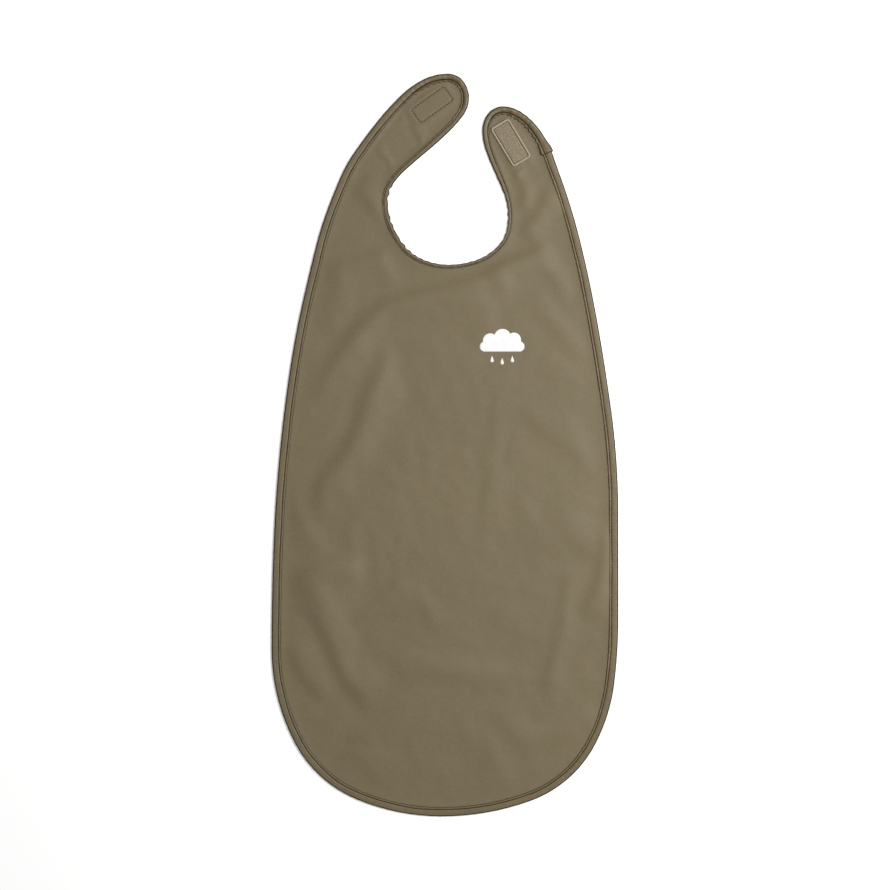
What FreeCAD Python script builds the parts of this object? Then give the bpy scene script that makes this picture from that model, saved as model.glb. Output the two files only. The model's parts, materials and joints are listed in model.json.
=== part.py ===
import FreeCAD, Part
import math
import os

# A long wipe-clean apron bib for a small child, lying flat on its back with the front face up.
#
# Frame: millimetres, +Z up out of the front face, +Y towards the neck straps, +X to the right as
# seen from the front.  The origin is on the table under the middle of the overall box.
#
# The bib is one sheet of coated fabric with folded binding tape sewn round its whole edge.  Cloth
# bends anywhere; here it is cut into six stiff pieces at the folds that matter: two folds on each
# neck strap, which bring the tips together at the nape, and one fold across the lap.

DOCUMENT_NAME = "apron_bib"
SHEET_NAME = "sizes"

# Driving dimensions: alias, value, what it is.
DIMENSIONS = [
    ("tape_height", 2.5, "folded binding tape, bottom to top"),
    ("panel_bottom", 1.0, "underside of the coated fabric, held at mid height in the tape"),
    ("panel_thickness", 0.5, "coated fabric"),
    ("panel_inset", 0.8, "fold allowance between the panel's cut edge and the tape's outer fold"),
    ("stitch_ratio", 0.73, "edge seam, as a share of the tape's width from the outer fold"),
    ("thread_width", 0.5, "sewing thread"),
    ("thread_depth", 0.2, "sewing thread, how far it is pulled into the tape or patch"),
    ("fold_gap", 0.3, "clearance at each fold line"),
    ("apex_x", 8.5, "the point that all four strap folds aim at"),
    ("apex_y", 266.0, "the point that all four strap folds aim at"),
    ("lap_fold_y", -136.0, "fold line across the lap"),
    ("strap_parting_x", 28.0, "middle of the gap between the two strap tips"),
    ("reach", 400.0, "how far the cutting regions reach past the bib"),
    ("neck_zone_x", 2.0, "centre of the neck opening"),
    ("neck_zone_y", 224.0, "centre of the neck opening"),
    ("neck_zone_radius", 84.0, "parts the neck tape from the side tape"),
    ("patch_length", 42.0, "hook and loop patches, 20 mm tape"),
    ("patch_width", 20.0, "hook and loop patches, 20 mm tape"),
    ("patch_corner", 2.0, "rounded corners of the patches"),
    ("patch_seam_margin", 1.9, "patch edge to its stitch line"),
    ("hook_patch_x", -12.0, "hook patch centre, under the left strap"),
    ("hook_patch_y", 317.5, "hook patch centre"),
    ("hook_patch_angle", 35.5, "hook patch long side from +X"),
    ("hook_thickness", 1.0, "hook tape"),
    ("loop_patch_x", 61.5, "loop patch centre, on top of the right strap"),
    ("loop_patch_y", 282.0, "loop patch centre"),
    ("loop_patch_angle", 121.0, "loop patch long side from +X"),
    ("loop_thickness", 1.8, "loop tape with its pile"),
    ("lap_x", 95.0, "folded end of the binding tape on the right strap"),
    ("lap_y", 271.5, "folded end of the binding tape"),
    ("lap_angle", 20.0, "direction of the folded end across the tape"),
    ("lap_length", 13.0, "overlap of the tape's two ends"),
    ("lap_height", 0.6, "extra height of the tape where its ends overlap"),
    ("lap_reach", 20.0, "how far the cut that trims the lap runs past the tape"),
    ("print_x", 53.5, "print centre on the chest"),
    ("print_y", 91.0, "print centre on the chest"),
    ("print_width", 43.0, "cloud print"),
    ("print_height", 35.0, "cloud print with its drops"),
    ("print_thickness", 0.1, "transfer print"),
]

# Folds that hinge the straps: direction from the apex, and sideways shift of the fold line to its
# left, so that the closed straps lie one on the other with the two patches between them.
FOLDS = [
    ("left_root", 215.5, -1.2),
    ("left_tip", 160.0, 2.2),
    ("right_root", -57.0, -0.8),
    ("right_tip", -26.5, 1.9),
]

# Outer edge, counter-clockwise: point, heading of the edge there, and width of the binding tape.
# Between two points the edge is a pair of tangent arcs.
EDGE = [
    ("bottom", -3.0, -347.5, 0.0, 8.5),
    ("lower_right", 140.0, -281.0, 62.0, 8.5),
    ("right_widest", 162.0, -161.5, 90.0, 8.5),
    ("right_chest", 155.0, 35.0, 98.0, 8.5),
    ("right_armpit", 138.5, 135.5, 101.0, 8.5),
    ("right_root", 108.0, 250.5, 110.0, 8.5),
    ("right_strap_out", 93.5, 286.5, 120.0, 9.0),
    ("right_tip_out", 71.5, 310.5, 147.0, 8.5),
    ("right_tip", 54.5, 316.0, 180.0, 7.5),
    ("right_tip_in", 35.0, 293.5, 270.0, 6.5),
    ("right_strap_in", 44.5, 259.0, 294.0, 6.0),
    ("neck_right", 59.0, 213.5, 270.0, 4.0),
    ("neck_low_right", 51.5, 187.5, 230.0, 3.5),
    ("neck_bottom", 3.5, 168.0, 180.0, 3.5),
    ("neck_low_left", -39.5, 188.0, 126.0, 4.5),
    ("neck_left", -53.5, 227.0, 90.0, 5.0),
    ("left_strap_in", -38.0, 255.5, 42.0, 5.0),
    ("left_strap_under", 6.0, 294.5, 45.0, 6.0),
    ("left_tip_in", 22.5, 324.0, 90.0, 7.0),
    ("left_tip", 3.0, 346.5, 180.0, 7.5),
    ("left_tip_out", -40.5, 326.5, 224.0, 8.0),
    ("left_strap_out", -84.5, 273.0, 235.0, 8.5),
    ("left_root", -108.0, 224.0, 249.0, 8.5),
    ("left_armpit", -132.0, 137.0, 257.0, 8.5),
    ("left_chest", -153.0, 5.5, 264.0, 8.5),
    ("left_widest", -162.0, -191.0, 270.0, 8.5),
    ("lower_left", -141.0, -277.5, 297.0, 8.5),
]

UP = FreeCAD.Vector(0, 0, 1)


# ---------------------------------------------------------------- document and sheet

doc = FreeCAD.newDocument(DOCUMENT_NAME)
sheet = doc.addObject("Spreadsheet::Sheet", SHEET_NAME)


def write_row(row, alias, number, note=""):
    sheet.set("A%d" % row, alias)
    sheet.set("B%d" % row, repr(float(number)))
    sheet.setAlias("B%d" % row, alias)
    sheet.set("C%d" % row, note)


def fill_sheet():
    rows = list(DIMENSIONS)
    for name, direction, shift in FOLDS:
        rows.append(("fold_%s_angle" % name, direction, "fold line direction"))
        rows.append(("fold_%s_shift" % name, shift, "fold line shift to its left"))
    for name, x, y, heading, width in EDGE:
        rows.append(("edge_%s_x" % name, x, "edge point"))
        rows.append(("edge_%s_y" % name, y, "edge point"))
        rows.append(("edge_%s_heading" % name, heading, "edge direction"))
        rows.append(("edge_%s_tape" % name, width, "tape width"))
    for index, (alias, number, note) in enumerate(rows):
        write_row(index + 1, alias, number, note)
    doc.recompute()


def size(alias):
    return float(sheet.get(alias))


def bind(thing, path, expression):
    thing.setExpression(path, expression)


# ---------------------------------------------------------------- plane geometry

def vector(x, y):
    return FreeCAD.Vector(x, y, 0)


def heading_vector(degrees):
    return vector(math.cos(math.radians(degrees)), math.sin(math.radians(degrees)))


def left_of(direction):
    return vector(-direction.y, direction.x)


def tangent_arc(start, direction, end):
    """The arc, or line, that leaves start along direction and arrives at end."""
    chord = end - start
    bend = 2.0 * chord.dot(left_of(direction))
    if abs(bend) < 1e-6:
        return Part.LineSegment(start, end)
    radius = chord.dot(chord) / bend
    centre = start + left_of(direction) * radius
    from_angle = math.atan2(start.y - centre.y, start.x - centre.x)
    to_angle = math.atan2(end.y - centre.y, end.x - centre.x)
    if radius < 0:
        from_angle, to_angle = to_angle, from_angle
    if to_angle <= from_angle:
        to_angle += 2.0 * math.pi
    return Part.ArcOfCircle(Part.Circle(centre, UP, abs(radius)), from_angle, to_angle)


def arc_pair(start, start_direction, end, end_direction):
    """Two tangent arcs from one point and direction to the next."""
    chord = end - start
    square = 2.0 * (1.0 - start_direction.dot(end_direction))
    linear = 2.0 * chord.dot(start_direction + end_direction)
    constant = -chord.dot(chord)
    if square < 1e-9:
        arm = -constant / linear
    else:
        arm = (math.sqrt(linear * linear - 4.0 * square * constant) - linear) / (2.0 * square)
    join = (start + start_direction * arm + end - end_direction * arm) * 0.5
    return [tangent_arc(start, start_direction, join),
            tangent_arc(end, end_direction * -1.0, join)]


def edge_curves(inset_at):
    """The outer edge moved inwards by inset_at(tape width) at each of its points."""
    stations = []
    for name, _, _, _, _ in EDGE:
        direction = heading_vector(size("edge_%s_heading" % name))
        point = vector(size("edge_%s_x" % name), size("edge_%s_y" % name))
        inset = inset_at(size("edge_%s_tape" % name))
        stations.append((point + left_of(direction) * inset, direction))
    curves = []
    for index, (point, direction) in enumerate(stations):
        next_point, next_direction = stations[(index + 1) % len(stations)]
        curves += arc_pair(point, direction, next_point, next_direction)
    return curves


def polygon_curves(points):
    return [Part.LineSegment(points[i], points[(i + 1) % len(points)]) for i in range(len(points))]


def fold_line(name, side):
    """Start point and direction of a fold line, moved half the fold gap to one side."""
    direction = heading_vector(size("fold_%s_angle" % name))
    offset = size("fold_%s_shift" % name) + side * size("fold_gap") / 2.0
    return vector(size("apex_x"), size("apex_y")) + left_of(direction) * offset, direction


# ---------------------------------------------------------------- shared building steps

def sketch_of(name, curves, height_expression="0"):
    sketch = doc.addObject("Sketcher::SketchObject", name)
    sketch.addGeometry(curves, False)
    bind(sketch, "Placement.Base.z", height_expression)
    return sketch


def slab(name, curves, bottom_expression, thickness_expression):
    """A flat solid with the given outline."""
    block = doc.addObject("Part::Extrusion", name)
    block.Base = sketch_of(name + "_outline", curves, bottom_expression)
    block.DirMode = "Custom"
    block.Dir = UP
    block.Solid = True
    bind(block, "LengthFwd", thickness_expression)
    return block


def cut(name, base, tool):
    result = doc.addObject("Part::Cut", name)
    result.Base = base
    result.Tool = tool
    return result


def common(name, *shapes):
    result = doc.addObject("Part::MultiCommon", name)
    result.Shapes = list(shapes)
    return result


def together(name, *shapes):
    result = doc.addObject("Part::Compound", name)
    result.Links = list(shapes)
    return result


# ---------------------------------------------------------------- whole sheet, tape and thread

def whole_panel():
    """The coated fabric, one sheet from the bottom hem to both strap tips."""
    curves = edge_curves(lambda width: size("panel_inset"))
    return slab("whole_panel", curves, "sizes.panel_bottom", "sizes.panel_thickness")


def edge_ring(name, outer_inset, inner_inset, bottom_expression, thickness_expression):
    outer = slab(name + "_outer", edge_curves(outer_inset), bottom_expression, thickness_expression)
    inner = slab(name + "_inner", edge_curves(inner_inset), bottom_expression, thickness_expression)
    return cut(name, outer, inner)


def whole_thread():
    """The edge seam: one line of thread on the front of the tape and one on its back."""
    def seam_outer(width):
        return width * size("stitch_ratio") - size("thread_width") / 2.0

    def seam_inner(width):
        return width * size("stitch_ratio") + size("thread_width") / 2.0

    front = edge_ring("thread_front", seam_outer, seam_inner,
                      "sizes.tape_height - sizes.thread_depth", "sizes.thread_depth")
    back = edge_ring("thread_back", seam_outer, seam_inner, "0", "sizes.thread_depth")
    return together("whole_thread", front, back)


def whole_tape(panel, thread):
    """Folded tape round the whole edge, with the panel's edge and the seam sunk into it."""
    ring = edge_ring("tape_ring", lambda width: 0.0, lambda width: width, "0", "sizes.tape_height")
    slotted = cut("tape_slotted", ring, panel)
    return cut("whole_tape", slotted, thread)


# ---------------------------------------------------------------- the six regions

def region(name, points):
    """A tall block that holds one region of the bib."""
    return slab(name, polygon_curves(points), "-sizes.tape_height", "4 * sizes.tape_height")


def fold_ray(name, side):
    start, direction = fold_line(name, side)
    return start, start + direction * size("reach")


def regions():
    reach = size("reach")
    far_top = 1.2 * reach
    parting = size("strap_parting_x")
    apex_y = size("apex_y")
    half_gap = size("fold_gap") / 2.0
    above_fold = size("lap_fold_y") + half_gap
    below_fold = size("lap_fold_y") - half_gap
    left_root_chest = fold_ray("left_root", 1)
    left_root_strap = fold_ray("left_root", -1)
    left_tip_root = fold_ray("left_tip", 1)
    left_tip_tip = fold_ray("left_tip", -1)
    right_root_chest = fold_ray("right_root", -1)
    right_root_strap = fold_ray("right_root", 1)
    right_tip_root = fold_ray("right_tip", -1)
    right_tip_tip = fold_ray("right_tip", 1)
    outlines = {
        "chest": [left_root_chest[0], left_root_chest[1], vector(-reach, above_fold),
                  vector(reach, above_fold), right_root_chest[1], right_root_chest[0]],
        "apron": [vector(-reach, -reach), vector(reach, -reach),
                  vector(reach, below_fold), vector(-reach, below_fold)],
        "left_shoulder": [left_tip_root[0], left_tip_root[1],
                          left_root_strap[1], left_root_strap[0]],
        "left_strap": [left_tip_tip[0], vector(parting, apex_y), vector(parting, far_top),
                       vector(-reach, far_top), left_tip_tip[1]],
        "right_shoulder": [right_root_strap[0], right_root_strap[1],
                           right_tip_root[1], right_tip_root[0]],
        "right_strap": [right_tip_tip[0], right_tip_tip[1], vector(reach, far_top),
                        vector(parting, far_top), vector(parting, apex_y)],
    }
    return {name: region("region_" + name, points) for name, points in outlines.items()}


def neck_zone():
    zone = doc.addObject("Part::Cylinder", "neck_zone")
    bind(zone, "Radius", "sizes.neck_zone_radius")
    bind(zone, "Height", "4 * sizes.tape_height")
    bind(zone, "Placement.Base.x", "sizes.neck_zone_x")
    bind(zone, "Placement.Base.y", "sizes.neck_zone_y")
    bind(zone, "Placement.Base.z", "-sizes.tape_height")
    return zone


def left_half():
    half = doc.addObject("Part::Box", "left_half")
    bind(half, "Length", "sizes.reach")
    bind(half, "Width", "2 * sizes.reach")
    bind(half, "Height", "4 * sizes.tape_height")
    bind(half, "Placement.Base.x", "-sizes.reach")
    bind(half, "Placement.Base.y", "-sizes.reach")
    bind(half, "Placement.Base.z", "-sizes.tape_height")
    return half


# ---------------------------------------------------------------- sub-parts cut from the sheet

def panels(panel, areas):
    return [common("panel_" + name, panel, area) for name, area in areas.items()]


def seam_threads(thread, areas):
    return [common("seam_thread_" + name, thread, area) for name, area in areas.items()]


def bindings(tape, areas, neck, left):
    """The tape's stretches: one round the apron and one round each strap tip, and side and neck
    stretches on the chest and shoulders."""
    pieces = [common("binding_apron", tape, areas["apron"]),
              common("binding_left_strap", tape, areas["left_strap"]),
              common("binding_right_strap", tape, areas["right_strap"])]
    for name in ("chest", "left_shoulder", "right_shoulder"):
        pieces.append(common("binding_%s_neck" % name, tape, areas[name], neck))
    for name in ("left_shoulder", "right_shoulder"):
        stretch = common(name + "_tape", tape, areas[name])
        pieces.append(cut("binding_%s_side" % name, stretch, neck))
    chest_sides = cut("chest_sides", common("chest_tape", tape, areas["chest"]), neck)
    pieces.append(common("binding_chest_left", chest_sides, left))
    pieces.append(cut("binding_chest_right", chest_sides, left))
    return pieces


def binding_lap():
    """The tape's folded end, lying over its beginning on the outer edge of the right strap."""
    across = heading_vector(size("lap_angle"))
    along = left_of(across)
    middle = vector(size("lap_x"), size("lap_y"))
    inner_end = middle - across * (size("lap_reach") / 2.0)
    outer_end = middle + across * size("lap_reach")
    stretch = along * size("lap_length")
    ring = edge_ring("lap_ring", lambda width: 0.0, lambda width: width,
                     "sizes.tape_height", "sizes.lap_height")
    trim = region("lap_region", [inner_end, outer_end, outer_end + stretch, inner_end + stretch])
    return common("binding_lap", ring, trim)


# ---------------------------------------------------------------- patches

def origin_plane(body, role):
    for feature in body.Origin.OriginFeatures:
        if feature.Role == role:
            return feature
    raise ValueError("no plane %s" % role)


def body_sketch(body, name, curves, height_expression="0"):
    sketch = body.newObject("Sketcher::SketchObject", name)
    sketch.AttachmentSupport = [(origin_plane(body, "XY_Plane"), "")]
    sketch.MapMode = "FlatFace"
    bind(sketch, "AttachmentOffset.Base.z", height_expression)
    sketch.addGeometry(curves, False)
    return sketch


def rounded_rectangle(length, width, radius):
    """A rectangle round the origin with arcs at its corners."""
    half_length = length / 2.0
    half_width = width / 2.0
    curves = []
    centres = [(1, 1), (-1, 1), (-1, -1), (1, -1)]
    for quarter, (sign_x, sign_y) in enumerate(centres):
        centre = vector(sign_x * (half_length - radius), sign_y * (half_width - radius))
        begin = quarter * math.pi / 2.0
        curves.append(Part.ArcOfCircle(Part.Circle(centre, UP, radius), begin, begin + math.pi / 2.0))
    for quarter in range(4):
        end = curves[quarter].EndPoint
        begin = curves[(quarter + 1) % 4].StartPoint
        curves.append(Part.LineSegment(end, begin))
    return curves


def seam_rectangles():
    """Outer and inner side of a patch's stitch line."""
    length = size("patch_length") - 2.0 * size("patch_seam_margin")
    width = size("patch_width") - 2.0 * size("patch_seam_margin")
    half_thread = size("thread_width") / 2.0
    outer = rounded_rectangle(length + 2.0 * half_thread, width + 2.0 * half_thread, 3.0 * half_thread)
    inner = rounded_rectangle(length - 2.0 * half_thread, width - 2.0 * half_thread, half_thread)
    return outer + inner


def place_like_patch(thing, patch, height_expression):
    bind(thing, "Placement.Base.x", "sizes.%s_patch_x" % patch)
    bind(thing, "Placement.Base.y", "sizes.%s_patch_y" % patch)
    bind(thing, "Placement.Base.z", height_expression)
    bind(thing, "Placement.Rotation.Angle", "sizes.%s_patch_angle * 1 deg" % patch)


def patch_body(patch, bottom_expression, thickness_expression, seam_on_top):
    """A piece of hook or loop tape with its stitch line pressed into the free face."""
    body = doc.addObject("PartDesign::Body", patch + "_patch")
    outline = rounded_rectangle(size("patch_length"), size("patch_width"), size("patch_corner"))
    pad = body.newObject("PartDesign::Pad", patch + "_tape")
    pad.Profile = body_sketch(body, patch + "_tape_outline", outline)
    bind(pad, "Length", thickness_expression)
    doc.recompute()
    plain_volume = body.Shape.Volume
    seam_height = thickness_expression if seam_on_top else "0"
    groove = body.newObject("PartDesign::Pocket", patch + "_seam_groove")
    groove.Profile = body_sketch(body, patch + "_seam_line", seam_rectangles(), seam_height)
    groove.Reversed = not seam_on_top
    bind(groove, "Length", "sizes.thread_depth")
    place_like_patch(body, patch, bottom_expression)
    doc.recompute()
    if body.Shape.Volume > plain_volume - 1.0:
        raise ValueError("the seam groove of the %s patch cuts nothing" % patch)
    return body


def patch_thread(patch, front_expression, back_expression):
    """Thread of a patch's seam, on the front and on the back of the strap."""
    rings = []
    for face, height in (("front", front_expression), ("back", back_expression)):
        sketch = doc.addObject("Sketcher::SketchObject", "%s_thread_%s_line" % (patch, face))
        sketch.addGeometry(seam_rectangles(), False)
        place_like_patch(sketch, patch, height)
        ring = doc.addObject("Part::Extrusion", "%s_thread_%s" % (patch, face))
        ring.Base = sketch
        ring.DirMode = "Custom"
        ring.Dir = UP
        ring.Solid = True
        bind(ring, "LengthFwd", "sizes.thread_depth")
        rings.append(ring)
    return together(patch + "_patch_thread", *rings)


# ---------------------------------------------------------------- print

def cloud_curves():
    """A plain cloud: a flat base and five round bumps, in shares of the print's size."""
    width = size("print_width")
    height = size("print_height")
    centre = vector(size("print_x"), size("print_y"))
    shares = [(-0.36, -0.12), (-0.42, 0.14), (-0.17, 0.33), (0.17, 0.36), (0.40, 0.15), (0.36, -0.12)]
    corners = [centre + vector(x * width, y * height) for x, y in shares]
    curves = [Part.LineSegment(corners[-1], corners[0])]
    bulges = [0.46, 0.34, 0.34, 0.34, 0.46]
    for index, bulge in enumerate(bulges):
        start = corners[index]
        end = corners[index + 1]
        chord = end - start
        top = (start + end) * 0.5 + left_of(chord) * bulge
        curves.append(Part.Arc(start, top, end))
    return curves


def drop_curves(x_share, y_share):
    """A rain drop: half a circle below, two straight sides to a point above."""
    radius = size("print_height") * 0.045
    centre = vector(size("print_x") + x_share * size("print_width"),
                    size("print_y") + y_share * size("print_height"))
    tip = centre + vector(0, 3.0 * radius)
    bottom = Part.ArcOfCircle(Part.Circle(centre, UP, radius), math.pi, 2.0 * math.pi)
    return [bottom, Part.LineSegment(bottom.EndPoint, tip), Part.LineSegment(tip, bottom.StartPoint)]


def front_print():
    """A small generic cloud with three drops, transferred onto the chest."""
    curves = cloud_curves()
    for x_share, y_share in ((-0.22, -0.36), (0.0, -0.42), (0.22, -0.36)):
        curves += drop_curves(x_share, y_share)
    return slab("front_print", curves, "sizes.panel_bottom + sizes.panel_thickness",
                "sizes.print_thickness")


# ---------------------------------------------------------------- build, check and write

def build():
    fill_sheet()
    panel = whole_panel()
    thread = whole_thread()
    tape = whole_tape(panel, thread)
    areas = regions()
    neck = neck_zone()
    left = left_half()
    parts = panels(panel, areas)
    parts += bindings(tape, areas, neck, left)
    parts.append(binding_lap())
    parts += seam_threads(thread, areas)
    panel_top = "sizes.panel_bottom + sizes.panel_thickness"
    parts.append(patch_body("hook", "0", "sizes.hook_thickness", False))
    parts.append(patch_body("loop", panel_top, "sizes.loop_thickness", True))
    parts.append(patch_thread("hook", panel_top, "0"))
    parts.append(patch_thread("loop", panel_top + " + sizes.loop_thickness - sizes.thread_depth",
                              "sizes.panel_bottom - sizes.thread_depth"))
    parts.append(front_print())
    for part in parts:
        part.Label = part.Name
    doc.recompute()
    return parts


def check(parts):
    for thing in doc.Objects:
        if "Invalid" in thing.State or "Error" in thing.State:
            raise ValueError("%s did not recompute" % thing.Name)
    for part in parts:
        if part.Shape.isNull() or not part.Shape.isValid() or not part.Shape.Solids:
            raise ValueError("%s has no valid solid" % part.Label)


def write(parts):
    os.makedirs("parts", exist_ok=True)
    for part in parts:
        part.Shape.exportStep(os.path.join("parts", part.Label + ".step"))
        box = part.Shape.BoundBox
        print("%-30s %2d solids %10.2f mm3  x %7.1f %7.1f  y %7.1f %7.1f  z %5.2f %5.2f" % (
            part.Label, len(part.Shape.Solids), part.Shape.Volume,
            box.XMin, box.XMax, box.YMin, box.YMax, box.ZMin, box.ZMax))


finished_parts = build()
check(finished_parts)
write(finished_parts)
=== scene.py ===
import json
import math
import random

import bmesh
import bpy
import numpy as np
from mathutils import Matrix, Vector
from mathutils.bvhtree import BVHTree
from mathutils.geometry import delaunay_2d_cdt
from mathutils.kdtree import KDTree


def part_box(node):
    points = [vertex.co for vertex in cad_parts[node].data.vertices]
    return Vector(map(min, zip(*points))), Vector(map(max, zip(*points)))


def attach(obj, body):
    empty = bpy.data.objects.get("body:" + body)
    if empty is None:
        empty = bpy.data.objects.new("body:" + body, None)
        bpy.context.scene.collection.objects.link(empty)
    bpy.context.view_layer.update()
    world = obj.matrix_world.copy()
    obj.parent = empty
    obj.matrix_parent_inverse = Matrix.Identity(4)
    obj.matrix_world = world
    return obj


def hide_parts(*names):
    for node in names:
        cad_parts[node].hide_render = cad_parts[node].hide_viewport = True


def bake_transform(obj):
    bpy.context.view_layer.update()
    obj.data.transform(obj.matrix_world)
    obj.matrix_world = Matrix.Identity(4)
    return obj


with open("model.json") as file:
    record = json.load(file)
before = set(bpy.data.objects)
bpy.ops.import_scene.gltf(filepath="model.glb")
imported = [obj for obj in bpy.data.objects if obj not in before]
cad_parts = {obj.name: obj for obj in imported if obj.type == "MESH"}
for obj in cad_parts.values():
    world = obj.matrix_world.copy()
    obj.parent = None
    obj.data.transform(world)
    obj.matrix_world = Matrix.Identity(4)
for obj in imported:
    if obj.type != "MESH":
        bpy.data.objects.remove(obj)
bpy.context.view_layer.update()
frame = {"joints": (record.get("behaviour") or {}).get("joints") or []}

# A long apron bib of thin coated fabric, flat on its back.  The CAD frame gives the fold lines, the
# patches and the heights.  Here the cloth is cut as one sheet, settled by a cloth simulation, and only
# then parted along lines that stay rigid, so that each piece crosses one fold.

MM = 0.001
JOINTS = {joint["name"]: joint for joint in frame["joints"]}

# ---------------------------------------------------------------- sizes, in millimetres

CLOTH_THICKNESS = 0.5
CLOTH_REACH = 0.42         # where the cloth's cut edge lies in the tape, as a share of the tape's width
STITCH_PITCH = 3.0
STITCH_LENGTH = 2.5
THREAD_RADIUS = 0.24
SEAM_SHARE = 0.73          # seam line, as a share of the tape's width
STATIONS_PER_STITCH = 4
CELL = 2.7                 # side of the cloth mesh's triangles
FINE_CELL = 1.1            # the same on the straps
FINE_ABOVE_Y = 250.0
STRAP_PARTING_X = 28.0     # between the two straps
PATCH_SIZE = (42.0, 20.0)
PATCH_CORNER = 3.0
PATCH_SEAM_MARGIN = 2.3    # from the patch's edge to its stitches
CHANNEL_HALF_WIDTH = 0.42
PILE_MARGIN = 1.1          # from the stitches to the pile
HOOK_ANGLE = 35.5
LOOP_ANGLE = 121.0
HOOK_LOW = 0.45            # underside and top of the hook tape, which faces the floor
HOOK_TOP = 1.0
HOOK_REACH = 0.45          # of the hooks
LOOP_TOP = 2.8             # top of the loop tape, which lies on the cloth
LOOP_REACH = 0.20
LAP_POINT = (95.0, 271.5)  # where the upper end of the tape begins
LAP_LENGTH = 16.0
PRINT_CENTRE = np.array([53.5, 91.0])
PRINT_SIZE = (43.0, 35.0)

# The outer edge, counter-clockwise, as in the CAD model: point, heading, tape width.
EDGE = [
    ("bottom", -3.0, -347.5, 0.0, 8.5),
    ("lower_right", 140.0, -281.0, 62.0, 8.5),
    ("right_widest", 162.0, -161.5, 90.0, 8.5),
    ("right_chest", 155.0, 35.0, 98.0, 8.5),
    ("right_armpit", 138.5, 135.5, 101.0, 8.5),
    ("right_root", 108.0, 250.5, 110.0, 8.5),
    ("right_strap_out", 93.5, 286.5, 120.0, 9.0),
    ("right_tip_out", 71.5, 310.5, 147.0, 8.5),
    ("right_tip", 54.5, 316.0, 180.0, 7.5),
    ("right_tip_in", 35.0, 293.5, 270.0, 6.5),
    ("right_strap_in", 44.5, 259.0, 294.0, 6.0),
    ("neck_right", 59.0, 213.5, 270.0, 4.0),
    ("neck_low_right", 51.5, 187.5, 230.0, 3.5),
    ("neck_bottom", 3.5, 168.0, 180.0, 3.5),
    ("neck_low_left", -39.5, 188.0, 126.0, 4.5),
    ("neck_left", -53.5, 227.0, 90.0, 5.0),
    ("left_strap_in", -38.0, 255.5, 42.0, 5.0),
    ("left_strap_under", 6.0, 294.5, 45.0, 6.0),
    ("left_tip_in", 22.5, 324.0, 90.0, 7.0),
    ("left_tip", 3.0, 346.5, 180.0, 7.5),
    ("left_tip_out", -40.5, 326.5, 224.0, 8.0),
    ("left_strap_out", -84.5, 273.0, 235.0, 8.5),
    ("left_root", -108.0, 224.0, 249.0, 8.5),
    ("left_armpit", -132.0, 137.0, 257.0, 8.5),
    ("left_chest", -153.0, 5.5, 264.0, 8.5),
    ("left_widest", -162.0, -191.0, 270.0, 8.5),
    ("lower_left", -141.0, -277.5, 297.0, 8.5),
]

# Soft folds in the cloth: line along the fold's steep side, height, steep and soft widths.  The crest
# lies to the right of the line's direction.
FOLDS = [
    ([(-130, 18), (-122, 51), (-103, 88), (-75, 121), (-37, 143), (5, 152), (51, 169), (89, 187)],
     3.3, 10.0, 55.0),
    ([(-89, 240), (-74, 225), (-55, 202)], -2.0, 5.0, 18.0),
    ([(-115, 171), (-81, 174), (-50, 186)], 1.6, 7.0, 28.0),
    ([(-125, -78), (-119, -35), (-96, -3), (-75, 51), (-51, 93)], 2.7, 9.0, 50.0),
    ([(-151, -134), (-126, -114), (-94, -108), (-68, -108)], 2.7, 7.0, 34.0),
    ([(-151, -154), (-126, -164), (-112, -187), (-97, -220), (-68, -256)], -3.3, 8.0, 38.0),
    ([(-151, -179), (-138, -213), (-109, -250)], -2.4, 7.0, 20.0),
    ([(-26, -87), (-22, -14), (-29, 46)], 0.8, 8.0, 40.0),
    ([(28, -87), (42, 14), (48, 62)], 1.1, 7.0, 45.0),
    ([(-91, -166), (-61, -142), (-37, -116)], 1.8, 7.0, 32.0),
    ([(-37, -116), (-25, -145), (-12, -183)], -1.0, 7.0, 28.0),
    ([(121, -166), (139, -127), (151, -63)], 1.9, 7.0, 18.0),
    ([(87, -244), (104, -169), (113, -103)], 1.3, 7.0, 30.0),
    ([(67, 214), (70, 240), (58, 257)], 2.0, 4.5, 12.0),
    ([(64, 199), (85, 220), (94, 245)], 2.0, 5.5, 20.0),
    ([(31, 163), (70, 178), (100, 193)], 2.3, 6.0, 24.0),
    ([(59, -273), (108, -259), (142, -236)], 1.3, 6.0, 24.0),
    ([(137, -230), (14, -217), (-94, -221)], 0.2, 4.0, 12.0),
    ([(-35, 298), (-27, 288), (-23, 279)], -0.8, 3.0, 6.0),
    ([(-68, 275), (-57, 266), (-50, 251)], -0.8, 5.0, 9.0),
]
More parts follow.
